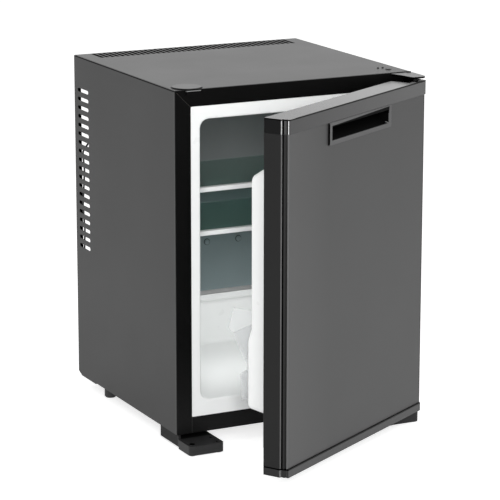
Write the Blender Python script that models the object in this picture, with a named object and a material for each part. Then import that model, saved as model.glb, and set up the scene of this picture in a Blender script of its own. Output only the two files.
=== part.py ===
"""Small free-standing refrigerator with an absorption cooling unit and its door ajar.

The cabinet is written in its own coordinates: x to the right, y to the back from the front
frame's face, z up from the underside. The door is written closed, in the same coordinates,
and hangs from an empty on its hinge axis. One root empty lifts everything onto its feet.
"""

import math

import bmesh
import bpy
from mathutils import Matrix, Vector

for old in list(bpy.data.objects):
    bpy.data.objects.remove(old, do_unlink=True)

# Clearances
GAP = 0.0003
RUNNING_GAP = 0.0003

# Cabinet
WIDTH = 0.402
DEPTH = 0.382
HEIGHT = 0.530
HALF = WIDTH / 2
SHEET = 0.001
FRAME_WIDTH = 0.0255
FRAME_PLATE = 0.0024
FRAME_TONGUE = 0.0015
FRAME_DEPTH = 0.012
REAR_BAY_DEPTH = 0.057
BAY_FRONT = DEPTH - REAR_BAY_DEPTH
REAR_FLANGE = 0.011
TOP_EDGE_BEVEL = 0.002
CORNER_CUT_LENGTH = 0.008
CORNER_CUT_HEIGHT = 0.004

# Louvre slots
SIDE_SLOT_COUNT = 19
SIDE_SLOT_PITCH = 0.0142
SIDE_SLOT_TOP = HEIGHT - 0.054
SIDE_SLOT_HEIGHT = 0.006
SIDE_SLOT_LENGTH = 0.043
SIDE_SLOT_BACK = 0.013
TOP_SLOT_COUNT = 39
TOP_SLOT_PITCH = 0.009
TOP_SLOT_WIDTH = 0.005
TOP_SLOT_LENGTH = 0.043
TOP_SLOT_BACK = 0.006

# Cold space
LINER_THICK = 0.002
FLANGE_SIDE = 0.016
FLANGE_TOP = 0.0205
FLANGE_BOTTOM = 0.025
LINER_RADIUS = 0.014
LIP_RADIUS = 0.003
BACK_INSULATION = 0.043
CAVITY_BACK = BAY_FRONT - BACK_INSULATION
LEDGE_DEPTH = 0.006
LEDGE_HEIGHT = 0.008
LEDGE_FRONT = 0.075
LEDGE_BACK = CAVITY_BACK - 0.020
SHELF_HEIGHTS = {"upper": 0.3670, "lower": 0.2990}
SHELF_FRONT = 0.056
SHELF_TO_SHIELD = 0.003
SHELF_CORNER = 0.004
SHELF_SIDE_GAP = 0.0015
GLASS_THICK = 0.0035
TRIM_HEIGHT = 0.0072
TRIM_DEPTH = 0.009
TRIM_WALL = 0.0018
TRIM_BEVEL = 0.001

# Evaporator behind its shield
SHIELD_HALF_WIDTH = 0.118
SHIELD_BOTTOM = 0.150
SHIELD_TOP = HEIGHT - 0.078
SHIELD_DEPTH = 0.030
SHIELD_FRONT = CAVITY_BACK - SHIELD_DEPTH
SHIELD_WALL = 0.002
SHIELD_BEVEL = 0.004
BOLT_SPACING = 0.0566
BOLT_HEIGHT = 0.231
BOLT_RADIUS = 0.0045
BOLT_SHANK = 0.0020
BOLT_LENGTH = 0.006
BOLT_HEAD = 0.0022
FIN_COUNT = 13
FIN_HALF_WIDTH = 0.090
FIN_BOTTOM = 0.260
FIN_TOP = SHIELD_TOP - 0.022
FIN_THICK = 0.0022
FIN_BASE = 0.004
FIN_FRONT = SHIELD_FRONT + 0.007
GUTTER_HALF_WIDTH = 0.125
GUTTER_BOTTOM = 0.128
GUTTER_HEIGHT = 0.018
GUTTER_DEPTH = 0.020
GUTTER_LIP = 0.012
GUTTER_BEVEL = 0.003

# Feet
FOOT_HEIGHT = 0.0225
FOOT_OUTER = HALF - 0.0015
FOOT_WIDTH = 0.0575
FOOT_INNER = FOOT_OUTER - FOOT_WIDTH
FOOT_FRONT = -0.0435
FOOT_BACK = 0.068
FOOT_BOTTOM = -0.0210
FOOT_HEEL = -0.002
FOOT_HEEL_BOTTOM = -0.0180
FOOT_STEP = -0.0065
FOOT_STEP_BACK = -0.001
FOOT_RECESS_BACK = 0.018
FOOT_WALL = 0.004
FOOT_CORNER = 0.006
PIN_SEAT_DEPTH = 0.009
FOOT_HOLE_RADIUS = 0.002
FOOT_HOLE_DEPTH = 0.004
FOOT_HOLES = ((0.0396, 0.0188), (0.0385, -0.0033))
GLIDE_RADIUS = 0.005
GLIDE_BEVEL = 0.0006
GLIDE_EDGE = 0.0065
GLIDE_INNER_EDGE = 0.008
REAR_FOOT_RADIUS = 0.0098
REAR_FOOT_BEVEL = 0.002
REAR_FOOT_X = HALF - 0.021
REAR_FOOT_Y = DEPTH - 0.082
TRAY_FRONT = BAY_FRONT - 0.011
TRAY_BACK = DEPTH - 0.005
TRAY_THICK = 0.0025
TRAY_CORNER = 0.003
VENT_COUNT = 9
VENT_PITCH = 0.036
VENT_WIDTH = 0.026
VENT_MARGIN = 0.008
VENT_CORNER = 0.004

# Hinge
HINGE_EDGE = 0.011
HINGE_X = HALF - HINGE_EDGE
HINGE_Y = -0.031
PIN_RADIUS = 0.004
BUSH_WALL = 0.0020
DOOR_ANGLE = math.radians(30.78)
BRACKET_THICK = 0.0028
BRACKET_SEAT = 0.0018
BRACKET_LEFT = HINGE_X - 0.024
BRACKET_NECK_RIGHT = HINGE_X + 0.003
BRACKET_BACK = 0.060
BRACKET_FRAME_GAP = 0.0012
BRACKET_TONGUE = ((-0.0165, 0.0110), (-0.0122, -0.0090), (-0.0100, -0.0120), (0.0085, -0.0120),
                  (0.0120, -0.0085), (0.0128, -0.0030))
BRACKET_SCREWS = ((-0.0212, 0.0785, 0.0018), (-0.0130, 0.0780, 0.0018), (-0.0120, 0.0625, 0.0045))
BRACKET_SCREW_RADIUS = 0.0012
BRACKET_SCREW_HEAD = 0.0012
PLUG_X = -HALF + 0.029
PLUG_Y = 0.021
PLUG_RADIUS = 0.0225
PLUG_HEIGHT = 0.0016
PLUG_BEVEL = 0.0006
PLUG_TAB_HALF = 0.0115
PLUG_TAB_REACH = 0.0042
PLUG_TAB_THICK = 0.0005
PLUG_TAB_DROP = 0.007

# Door
DOOR_OVERHANG = 0.002
DOOR_WIDTH = WIDTH + 2 * DOOR_OVERHANG
DOOR_THICK = 0.040
DOOR_GAP = 0.005
DOOR_TOP = HEIGHT - 0.008
DOOR_BOTTOM = -0.005
CAP_TOP_LINE = DOOR_TOP - 0.0215
CAP_BOTTOM_LINE = DOOR_BOTTOM + 0.013
PANEL_RECESS = 0.0018
PANEL_THICK = 0.001
CORNER_SIDE = 0.0120
CORNER_FRONT = 0.005
EDGE_WIDTH = 0.0075
EDGE_WALL = 0.0016
EDGE_RETURN = 0.0155
HINGE_FROM_EDGE = DOOR_WIDTH / 2 + HINGE_X
POCKET_LEFT = HINGE_FROM_EDGE - 0.0295
POCKET_RIGHT = HINGE_FROM_EDGE + 0.0068
POCKET_FRONT = 0.008
POCKET_FLOOR = DOOR_TOP - 0.0075
TOP_PIN_RISE = 0.004
BOTTOM_PIN_COVER = 0.003
BUSH_FLANGE = 0.0022

# Handle
HANDLE_WIDTH = 0.180
HANDLE_BOTTOM = CAP_TOP_LINE - 0.0335
HANDLE_PROUD = 0.001
HANDLE_BAND = 0.0065
HANDLE_POCKET_DEPTH = 0.026
HANDLE_WALL = 0.002
HANDLE_LIP = 0.006
HANDLE_CORNER = 0.002
SCOOP_RISE = 0.012
SCOOP_FILLET = 0.006
SCOOP_BEVEL = 0.002

# Door liner and seal
DOOR_FLANGE_INSET = 0.006
DOOR_FLANGE_BOTTOM = DOOR_BOTTOM + 0.0195
DOOR_FLANGE_TOP = DOOR_TOP - 0.0125
DOOR_FLANGE_CORNER = 0.008
DOOR_LINER_THICK = 0.0015
RIM_BASE_INSET = 0.050
RIM_BASE_BOTTOM = DOOR_BOTTOM + 0.0664
RIM_BASE_TOP = DOOR_TOP - 0.066
RIM_CREST_INSET = 0.056
RIM_CREST_WIDTH = 0.010
RIM_CREST_BOTTOM = DOOR_BOTTOM + 0.0755
RIM_CREST_TOP = DOOR_TOP - 0.1014
RIM_BASE_CORNER = 0.009
RIM_CORNER = 0.0075
RIM_SOFT = 0.0025
RIM_HIGH = 0.1025
RIM_LOW = 0.0965
RIM_HIGH_BELOW = 0.1737
RIM_LOW_ABOVE = 0.1928
PAN_DEPTH = 0.050
SEAL_FREE_INSET = 0.007
SEAL_HINGE_INSET = 0.010
SEAL_WIDTH = 0.014
SEAL_BOTTOM = DOOR_BOTTOM + 0.0215
SEAL_TOP = DOOR_TOP - 0.0140
SEAL_CORNER = 0.018
SEAL_BEVEL = 0.004
SEAL_ROLL = 0.001
RACK_INSET = 0.0725
RACK_WALL = 0.002
RACK_OVER_CREST = 0.0075
RACK_TAB_BOTTOM = 0.0765
RACK_FRONT = ((0.1246, RACK_TAB_BOTTOM), (0.1273, 0.1156), (0.1153, 0.1240), (0.1153, 0.1334), (0.1397, 0.1776))
RACK_WING = ((0.1480, 0.1839), (0.1380, 0.2158))
RACK_BACK_TOP = 0.2149

# Cooling unit in the rear bay
UNIT_FRONT_GAP = 0.004
VESSEL_RADIUS = 0.021
VESSEL_LEFT = -HALF + 0.051
VESSEL_RIGHT = HALF - 0.131
VESSEL_HEIGHT = 0.060
VESSEL_WALL_GAP = 0.004
VESSEL_DOME = 0.6
VESSEL_STEPS = 4
COIL_RADIUS = 0.0065
COIL_BEND = 0.015
COIL_START = 0.030
COIL_FALL = 0.004
COIL_LEFT = -HALF + 0.076
COIL_RIGHT = HALF - 0.156
COIL_PITCH = 0.042
COIL_RUNS = 5
CONDENSER_RADIUS = 0.008
CONDENSER_HEIGHT = HEIGHT - 0.068
CONDENSER_LEFT = -HALF + 0.066
CONDENSER_RIGHT = HALF - 0.096
CONDENSER_BEND = 0.014
CONDENSER_OVERHANG = 0.018
CONDENSER_FALL = 0.010
CONDENSER_SETBACK = 0.012
COLD_PIPE_X = 0.020
COLD_PIPE_HEIGHT = HEIGHT - 0.180
COLD_PIPE_RISE = 0.020
COOLING_FIN_COUNT = 14
COOLING_FIN_PITCH = 0.012
COOLING_FIN_SIZE = 0.044
COOLING_FIN_THICK = 0.001
COLLAR_WALL = 0.0012
COLLAR_END = 0.006
CASING_X = HALF - 0.073
CASING_WIDTH = 0.050
CASING_DEPTH = 0.048
CASING_BOTTOM = 0.040
CASING_TOP = HEIGHT - 0.240
CASING_CORNER = 0.006
PIPE_RADIUS = 0.005
PIPE_BEND = 0.012
EXCHANGER_RADIUS = 0.008
STRAP_WIDTH = 0.016
STRAP_THICK = 0.002
STRAP_VESSEL_GRIP = 0.010
STRAP_COIL_GRIP = 0.003
STRAP_SPREAD = 0.003
ACCESS_LEFT = -0.075
ACCESS_RIGHT = HALF - 0.096
ACCESS_BOTTOM = HEIGHT - 0.230
ACCESS_TOP = HEIGHT - 0.100
ACCESS_CORNER = 0.008
ACCESS_THICK = 0.0015
SCREW_INSET = 0.010
SCREW_RADIUS = 0.0018
SCREW_HEAD_RADIUS = 0.0036
SCREW_HEAD = 0.0024
SCREW_LENGTH = 0.006

# Control box, inlet and lead
BOX_WIDTH = 0.0494
BOX_BOTTOM = 0.014
BOX_TOP = 0.096
BOX_DEPTH = 0.046
BOX_CORNER = 0.003
INLET_WIDTH = 0.027
INLET_HEIGHT = 0.020
INLET_DEPTH = 0.012
INLET_PROUD = 0.002
INLET_WALL = 0.002
INLET_WELL = 0.009
INLET_PINS = ((-0.006, 0.0), (0.006, 0.0), (0.0, 0.003))
INLET_PIN_WIDTH = 0.002
INLET_PIN_HEIGHT = 0.004
LEAD_RADIUS = 0.0016
LEAD_BEND = 0.008
LEAD_OFFSET = 0.004
LEAD_BENDS = ((0.030, 0.1102), (0.036, 0.2457), (0.030, 0.4979), (0.036, 0.6287), (0.028, 0.8202),
              (0.034, 0.9183))
LEAD_TOP_SLOT = 5.35
LEAD_RISE = 0.002

# Worked out from the dimensions above
OPEN_HALF = HALF - FRAME_WIDTH - FLANGE_SIDE
OPEN_TOP = HEIGHT - FRAME_WIDTH - FLANGE_TOP
OPEN_BOTTOM = FRAME_WIDTH + FLANGE_BOTTOM
SHELF_BACK = SHIELD_FRONT - SHELF_TO_SHIELD
FOAM_BACK = BAY_FRONT - SHEET - GAP
DOOR_FACE_Y = -(DOOR_GAP + DOOR_THICK)
DOOR_LEFT_X = -DOOR_WIDTH / 2
BUSH_RADIUS = PIN_RADIUS + RUNNING_GAP + BUSH_WALL
BRACKET_TOP = HEIGHT - SHEET - GAP
BRACKET_BOTTOM = BRACKET_TOP - BRACKET_THICK


def finish(name, colour, roughness, metallic=0.0, alpha=1.0):
    """One Principled material in linear colour."""
    material = bpy.data.materials.new(name)
    material.use_nodes = True
    shader = material.node_tree.nodes["Principled BSDF"]
    shader.inputs["Base Color"].default_value = (*colour, 1.0)
    shader.inputs["Roughness"].default_value = roughness
    shader.inputs["Metallic"].default_value = metallic
    shader.inputs["Alpha"].default_value = alpha
    return material


GRAPHITE = ((0.10, 0.10, 0.10), 0.45, 0.0)
BLACK = ((0.010, 0.010, 0.010), 0.40, 0.0)
WHITE = ((0.84, 0.84, 0.83), 0.35, 0.0)
FOAM = ((0.75, 0.66, 0.40), 0.90, 0.0)
STEEL = ((0.45, 0.45, 0.45), 0.35, 1.0)
ZINC = ((0.52, 0.53, 0.52), 0.45, 1.0)
TEAL = ((0.075, 0.100, 0.105), 0.50, 0.0)
GLASS = ((0.60, 0.78, 0.72), 0.08, 0.0, 0.45)
CLEAR = ((0.85, 0.88, 0.90), 0.08, 0.0, 0.35)
PALE = ((0.62, 0.64, 0.64), 0.40, 0.0)
BLACK_STEEL = ((0.014, 0.014, 0.014), 0.50, 0.0)
SEAL = ((0.020, 0.020, 0.020), 0.65, 0.0)

pivot = Vector((HINGE_X, HINGE_Y))


def turned(x, y):
    """Where a point of the closed door lies with the door ajar."""
    offset = Vector((x, y)) - pivot
    c = math.cos(DOOR_ANGLE)
    s = math.sin(DOOR_ANGLE)
    return pivot + Vector((c * offset.x - s * offset.y, s * offset.x + c * offset.y))


def door_corner(mirrored=False, face=0.0):
    """Plan outline of one front corner of the door, from its side to its front face.

    Points run as (share of the corner's slant, depth under it): a bright edge, a deep
    groove, a ridge, a narrow groove and the rounded front corner.
    """
    stations = [(0.0, 0.0), (0.06, 0.0003), (0.08, 0.0022), (0.30, 0.0022), (0.33, 0.0007),
                (0.60, 0.0006), (0.63, 0.0016), (0.74, 0.0016), (0.77, 0.0004), (0.84, 0.0),
                (1.0, 0.0003)]
    side = Vector((0.0, CORNER_SIDE))
    front = Vector((CORNER_FRONT, face))
    along = front - side
    inward = Vector((-along.y, along.x)).normalized()
    points = [Vector((0.0, CORNER_SIDE + 0.002))]
    for share, depth in stations:
        points.append(side + along * share + inward * depth)
    points.append(Vector((CORNER_FRONT + 0.0012, face)))
    if mirrored:
        points = [Vector((DOOR_WIDTH - p.x, p.y)) for p in reversed(points)]
    return points


def door_xy(a, b):
    """Closed-door place of a point a from the free edge and b behind the cap's face."""
    return (a + DOOR_LEFT_X, b + DOOR_FACE_Y)


cap_outline = [door_xy(0.0, DOOR_THICK)]
cap_outline += [door_xy(p.x, p.y) for p in door_corner()]
cap_outline += [door_xy(p.x, p.y) for p in door_corner(mirrored=True)]
cap_outline += [door_xy(DOOR_WIDTH, DOOR_THICK)]
ajar_outline = [turned(x, y) for x, y in cap_outline]
X_MID = (min(-HALF, min(p.x for p in ajar_outline)) + max(HALF, max(p.x for p in ajar_outline))) / 2
Y_MID = (min(FOOT_FRONT, min(p.y for p in ajar_outline)) + DEPTH) / 2

root = bpy.data.objects.new("cabinet_datum", None)
root.location = (-X_MID, -Y_MID, FOOT_HEIGHT)
bpy.context.scene.collection.objects.link(root)
door_axis = bpy.data.objects.new("door_hinge_axis", None)
door_axis.parent = root
door_axis.location = (HINGE_X, HINGE_Y, 0.0)
door_axis.rotation_euler = (0.0, 0.0, DOOR_ANGLE)
bpy.context.scene.collection.objects.link(door_axis)


def placed(name, bm, look, on_door=False, smooth=False):
    """Turn a mesh into a named object on the cabinet or on the door."""
    bmesh.ops.remove_doubles(bm, verts=bm.verts, dist=1e-7)
    bmesh.ops.recalc_face_normals(bm, faces=bm.faces)
    mesh = bpy.data.meshes.new(name)
    bm.to_mesh(mesh)
    bm.free()
    if smooth:
        mesh.shade_smooth()
        mesh.set_sharp_from_angle(angle=math.radians(35))
    item = bpy.data.objects.new(name, mesh)
    mesh.materials.append(finish(name + "_finish", *look))
    item.parent = door_axis if on_door else root
    if on_door:
        item.location = (-HINGE_X, -HINGE_Y, 0.0)
    bpy.context.scene.collection.objects.link(item)
    return item


def combine(item, name, bm, operation, on_door=False):
    """Cut a mesh out of an item, or join it on, with a Boolean modifier."""
    tool = placed(name, bm, BLACK, on_door)
    tool.hide_render = True
    tool.display_type = "WIRE"
    step = item.modifiers.new(name, "BOOLEAN")
    step.operation = operation
    step.solver = "EXACT"
    step.object = tool


def cut(item, name, bm, on_door=False):
    combine(item, name, bm, "DIFFERENCE", on_door)


def join(item, name, bm, on_door=False):
    combine(item, name, bm, "UNION", on_door)


AXES = {"X": (1, 2, 0), "Y": (0, 2, 1), "Z": (0, 1, 2)}


def prism(outline, axis, low, high, bm=None):
    """Extrude a flat outline along one axis. Outlines are (y, z), (x, z) or (x, y)."""
    bm = bm or bmesh.new()
    first, second, along = AXES[axis]
    loops = []
    for level in (low, high):
        loop = []
        for point in outline:
            place = [0.0, 0.0, 0.0]
            place[first] = point[0]
            place[second] = point[1]
            place[along] = level
            loop.append(bm.verts.new(place))
        loops.append(loop)
    count = len(outline)
    for i in range(count):
        j = (i + 1) % count
        bm.faces.new((loops[0][i], loops[0][j], loops[1][j], loops[1][i]))
    bm.faces.new(loops[0])
    bm.faces.new(loops[1])
    return bm


def box(low, high, bm=None):
    outline = [(low[0], low[1]), (high[0], low[1]), (high[0], high[1]), (low[0], high[1])]
    return prism(outline, "Z", low[2], high[2], bm)


def disc(centre, radius, axis, low, high, sides=24, bm=None):
    outline = []
    for i in range(sides):
        angle = 2 * math.pi * (i + 0.5) / sides
        outline.append((centre[0] + radius * math.cos(angle), centre[1] + radius * math.sin(angle)))
    return prism(outline, axis, low, high, bm)


def loft(loops, bm=None, closed=False):
    """Skin a run of matching loops, capped at both ends or closed on itself."""
    bm = bm or bmesh.new()
    rings = [[bm.verts.new(p) for p in loop] for loop in loops]
    pairs = list(zip(rings, rings[1:]))
    if closed:
        pairs.append((rings[-1], rings[0]))
    count = len(rings[0])
    for lower, upper in pairs:
        for i in range(count):
            j = (i + 1) % count
            bm.faces.new((lower[i], lower[j], upper[j], upper[i]))
    if not closed:
        bm.faces.new(rings[0])
        bm.faces.new(rings[-1])
    return bm


def turned_solid(profile, centre, sides=24, axis="Z"):
    """Revolve (radius, height) pairs round a line parallel to an axis."""
    first, second, along = AXES[axis]
    loops = []
    for radius, level in profile:
        loop = []
        for i in range(sides):
            angle = 2 * math.pi * (i + 0.5) / sides
            place = [0.0, 0.0, 0.0]
            place[first] = centre[0] + radius * math.cos(angle)
            place[second] = centre[1] + radius * math.sin(angle)
            place[along] = level
            loop.append(place)
        loops.append(loop)
    return loops


def rounded(left, right, bottom, top, radius, steps=4, levels=()):
    """A rounded rectangle, with extra points on its upright sides at given levels."""
    points = []
    corners = [(right - radius, bottom + radius, -90), (right - radius, top - radius, 0),
               (left + radius, top - radius, 90), (left + radius, bottom + radius, 180)]
    for index, (cx, cy, start) in enumerate(corners):
        for i in range(steps + 1):
            angle = math.radians(start + 90 * i / steps)
            points.append((cx + radius * math.cos(angle), cy + radius * math.sin(angle)))
        if index == 0:
            points += [(right, level) for level in sorted(levels)]
        if index == 2:
            points += [(left, level) for level in sorted(levels, reverse=True)]
    return points


def bent_path(corners, radius, steps=5):
    """A run of points through the corners, with an arc at each inner one."""
    corners = [Vector(c) for c in corners]
    points = [corners[0]]
    for before, corner, after in zip(corners, corners[1:], corners[2:]):
        back = (before - corner).normalized()
        ahead = (after - corner).normalized()
        half = back.angle(ahead) / 2
        reach = radius / math.tan(half)
        middle = corner + (back + ahead).normalized() * (radius / math.sin(half))
        start = corner + back * reach - middle
        normal = start.cross(corner + ahead * reach - middle).normalized()
        sweep = math.pi - 2 * half
        for i in range(steps + 1):
            points.append(middle + Matrix.Rotation(sweep * i / steps, 3, normal) @ start)
    points.append(corners[-1])
    return points


def tube(points, radius, sides=10, bm=None):
    """Sweep a circle along points without twisting it."""
    points = [Vector(p) for p in points]
    loops = []
    side = None
    for i, point in enumerate(points):
        before = points[max(i - 1, 0)]
        after = points[min(i + 1, len(points) - 1)]
        ahead = (after - before).normalized()
        if side is None:
            side = ahead.orthogonal().normalized()
        side = (side - ahead * side.dot(ahead)).normalized()
        other = ahead.cross(side)
        loop = []
        for k in range(sides):
            angle = 2 * math.pi * k / sides
            loop.append(point + (side * math.cos(angle) + other * math.sin(angle)) * radius)
        loops.append(loop)
    return loft(loops, bm)


def stadium(centre, length, height, steps=4):
    """A slot outline with round ends, its length along the first direction."""
    radius = height / 2
    points = []
    for sign in (1, -1):
        cx = centre[0] + sign * (length / 2 - radius)
        for i in range(steps + 1):
            angle = math.radians(-90 + 180 * i / steps)
            points.append((cx + sign * radius * math.cos(angle),
                           centre[1] + sign * radius * math.sin(angle)))
    return points


# Cabinet shell

def wrap_solid():
    """Top and sides in one folded sheet with a flange turned in at the back."""
    front = FRAME_PLATE + GAP
    profile = [(0.0, front), (0.0, DEPTH), (REAR_FLANGE, DEPTH), (REAR_FLANGE, DEPTH - SHEET),
               (SHEET, DEPTH - SHEET), (SHEET, front)]
    loops = []
    for end in ("left foot", "left top", "right top", "right foot"):
        loop = []
        for inset, y in profile:
            x = HALF - inset
            z = HEIGHT - inset if "top" in end else 0.0
            loop.append((x if "right" in end else -x, y, z))
        loops.append(loop)
    bm = loft(loops)
    bm.edges.ensure_lookup_table()
    long_edges = []
    for edge in bm.edges:
        ends = edge.verts
        at_corner = all(abs(abs(v.co.x) - HALF) < 1e-6 and abs(v.co.z - HEIGHT) < 1e-6 for v in ends)
        if at_corner:
            long_edges.append(edge)
    bmesh.ops.bevel(bm, geom=long_edges, offset=TOP_EDGE_BEVEL, segments=3, profile=0.5,
                    affect="EDGES", clamp_overlap=False)
    return bm


outer_wrap = placed("outer_wrap", wrap_solid(), GRAPHITE)
slots = bmesh.new()
side_slot_y = DEPTH - SIDE_SLOT_BACK - SIDE_SLOT_LENGTH / 2
for i in range(SIDE_SLOT_COUNT):
    level = SIDE_SLOT_TOP - i * SIDE_SLOT_PITCH
    outline = stadium((side_slot_y, level), SIDE_SLOT_LENGTH, SIDE_SLOT_HEIGHT, 3)
    prism(outline, "X", -HALF - SHEET, -HALF + 2 * SHEET, slots)
    prism(outline, "X", HALF - 2 * SHEET, HALF + SHEET, slots)
top_slot_y = DEPTH - TOP_SLOT_BACK - TOP_SLOT_LENGTH / 2
for i in range(TOP_SLOT_COUNT):
    across = (i - (TOP_SLOT_COUNT - 1) / 2) * TOP_SLOT_PITCH
    outline = [(x, y) for y, x in stadium((top_slot_y, across), TOP_SLOT_LENGTH, TOP_SLOT_WIDTH, 2)]
    prism(outline, "Z", HEIGHT - 2 * SHEET, HEIGHT + SHEET, slots)
cut(outer_wrap, "slot_cutter", slots)
lower_corner = [(DEPTH - CORNER_CUT_LENGTH, 0.0), (DEPTH - CORNER_CUT_LENGTH, -SHEET),
                (DEPTH + SHEET, -SHEET), (DEPTH + SHEET, CORNER_CUT_HEIGHT), (DEPTH, CORNER_CUT_HEIGHT)]
cut(outer_wrap, "lower_corner_cutter", prism(lower_corner, "X", -HALF - SHEET, HALF + SHEET))


def rail(name, start, end, inward, start_mitre, end_mitre):
    """One bar of the front frame: a face plate with a tongue inside the sheet."""
    tongue = SHEET + GAP
    profile = [(0.0, 0.0), (FRAME_WIDTH, 0.0), (FRAME_WIDTH, FRAME_PLATE),
               (tongue + FRAME_TONGUE, FRAME_PLATE), (tongue + FRAME_TONGUE, FRAME_DEPTH),
               (tongue, FRAME_DEPTH), (tongue, FRAME_PLATE), (0.0, FRAME_PLATE)]
    start = Vector(start)
    end = Vector(end)
    along = (end - start).normalized()
    inward = Vector(inward)
    loops = []
    for place, way, mitre in ((start, 1, start_mitre), (end, -1, end_mitre)):
        loop = []
        for inset, y in profile:
            shift = inset * mitre + (GAP * math.sqrt(0.5) if mitre else 0.0)
            point = place + inward * inset + along * way * shift
            loop.append((point.x, y, point.y))
        loops.append(loop)
    return placed(name, loft(loops), BLACK)


rail("frame_left", (-HALF, 0.0), (-HALF, HEIGHT), (1, 0), 0, 1)
rail("frame_right", (HALF, 0.0), (HALF, HEIGHT), (-1, 0), 0, 1)
frame_top = rail("frame_top", (-HALF, HEIGHT), (HALF, HEIGHT), (0, -1), 1, 1)
inner_end = HALF - FRAME_WIDTH - GAP
rail("frame_bottom", (-inner_end, 0.0), (inner_end, 0.0), (0, 1), 0, 0)
cut(frame_top, "bracket_notch", box((BRACKET_LEFT - GAP, -SHEET, BRACKET_BOTTOM - GAP),
                                    (BRACKET_NECK_RIGHT + GAP, FRAME_DEPTH + SHEET, HEIGHT + SHEET)))


def cavity_loops(grow, back_grow):
    """Rounded loops from the lip of the opening to the back wall, grown by a wall."""
    loops = []
    left = -OPEN_HALF - grow
    right = OPEN_HALF + grow
    bottom = OPEN_BOTTOM - grow
    top = OPEN_TOP + grow
    radius = LINER_RADIUS + grow
    lip = max(LIP_RADIUS - grow, 0.0008)
    face = FRAME_PLATE - LINER_THICK + back_grow
    for i in range(4):
        angle = math.radians(90 * i / 3)
        spread = lip * (1 - math.sin(angle))
        y = face + lip * (1 - math.cos(angle))
        loops.append([(x, y, z) for x, z in rounded(left - spread, right + spread, bottom - spread,
                                                     top + spread, radius + spread)])
    back = CAVITY_BACK + back_grow
    fillet = LIP_RADIUS * 2
    for i in range(4):
        angle = math.radians(90 * i / 3)
        shrink = fillet * (1 - math.cos(angle))
        y = back - fillet * (1 - math.sin(angle))
        loops.append([(x, y, z) for x, z in rounded(left + shrink, right - shrink, bottom + shrink,
                                                     top - shrink, radius - shrink * 0.5)])
    return loops


def liner_solid():
    """The moulded tub: flange, rounded lip, straight walls and a filleted back."""
    margin = FRAME_WIDTH + GAP
    edge = rounded(-HALF + margin, HALF - margin, margin, HEIGHT - margin, 0.002)
    face = FRAME_PLATE - LINER_THICK
    inside = cavity_loops(0.0, 0.0)
    outside = cavity_loops(LINER_THICK, LINER_THICK)
    flange = [[(x, FRAME_PLATE, z) for x, z in edge], [(x, face, z) for x, z in edge]]
    return loft(list(reversed(outside)) + flange + inside)


inner_liner = placed("inner_liner", liner_solid(), WHITE, smooth=True)
ledges = bmesh.new()
for top in SHELF_HEIGHTS.values():
    rest = top - TRIM_WALL - GLASS_THICK - GAP
    for sign in (-1, 1):
        wall = sign * (OPEN_HALF + LINER_THICK / 2)
        inner = sign * (OPEN_HALF - LEDGE_DEPTH)
        outline = [(wall, rest), (inner, rest), (inner, rest - LEDGE_HEIGHT / 3),
                   (wall, rest - LEDGE_HEIGHT)]
        prism(outline, "Y", LEDGE_FRONT, LEDGE_BACK, ledges)
join(inner_liner, "ledge_tool", ledges)


def cabinet_foam_solid():
    """Insulation between the shell, the liner and the back plate."""
    step = SHEET + FRAME_TONGUE + 2 * GAP
    inset = SHEET + GAP
    narrow = rounded(-HALF + step, HALF - step, step, HEIGHT - step, 0.002)
    wide = rounded(-HALF + inset, HALF - inset, inset, HEIGHT - inset, 0.002)
    front = FRAME_PLATE + GAP
    behind = FRAME_DEPTH + GAP
    outer = [[(x, FOAM_BACK, z) for x, z in wide], [(x, behind, z) for x, z in wide],
             [(x, behind, z) for x, z in narrow], [(x, front, z) for x, z in narrow]]
    hollow = cavity_loops(LINER_THICK + GAP, LINER_THICK + GAP)
    return loft(outer + hollow)


cabinet_foam = placed("cabinet_foam", cabinet_foam_solid(), FOAM)
cut(cabinet_foam, "bracket_pocket", box((BRACKET_LEFT - GAP, 0.0, BRACKET_BOTTOM - GAP),
                                        (BRACKET_NECK_RIGHT + GAP, BRACKET_BACK + GAP, HEIGHT)))
side = HALF - SHEET - GAP
back_plate = placed("back_plate", box((-side, BAY_FRONT - SHEET, SHEET + GAP),
                                      (side, BAY_FRONT, HEIGHT - SHEET - GAP)), ZINC)
placed("base_pan", box((-side, FRAME_DEPTH + GAP, 0.0), (side, BAY_FRONT, SHEET)), BLACK_STEEL)

access = rounded(ACCESS_LEFT, ACCESS_RIGHT, ACCESS_BOTTOM, ACCESS_TOP, ACCESS_CORNER)
access_back = BAY_FRONT + GAP + ACCESS_THICK
access_plate = placed("access_plate", prism(access, "Y", BAY_FRONT + GAP, access_back), ZINC)
screw_holes = bmesh.new()
head_face = access_back + GAP
screw_end = BAY_FRONT - SCREW_LENGTH
screw_profile = [(SCREW_RADIUS, screw_end), (SCREW_RADIUS, head_face), (SCREW_HEAD_RADIUS, head_face),
                 (SCREW_HEAD_RADIUS * 0.94, head_face + SCREW_HEAD * 0.6),
                 (SCREW_HEAD_RADIUS * 0.55, head_face + SCREW_HEAD)]
for name, x, z in (("lower", ACCESS_LEFT + SCREW_INSET, ACCESS_BOTTOM + SCREW_INSET),
                   ("upper", ACCESS_RIGHT - SCREW_INSET, ACCESS_TOP - SCREW_INSET)):
    placed("access_screw_" + name, loft(turned_solid(screw_profile, (x, z), 12, "Y")), STEEL)
    disc((x, z), SCREW_RADIUS + GAP, "Y", screw_end - GAP, access_back + SHEET, 12, screw_holes)

# Cold pipe through the insulation to the evaporator
cold_hole = disc((COLD_PIPE_X, COLD_PIPE_HEIGHT), CONDENSER_RADIUS + GAP, "Y", CAVITY_BACK - SHEET,
                 access_back + SHEET, 16)
for item in (back_plate, access_plate, cabinet_foam, inner_liner):
    cut(item, item.name + "_pipe_hole", cold_hole.copy())
cold_hole.free()
for item in (back_plate, access_plate, cabinet_foam):
    cut(item, item.name + "_screw_holes", screw_holes.copy())
screw_holes.free()

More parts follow.
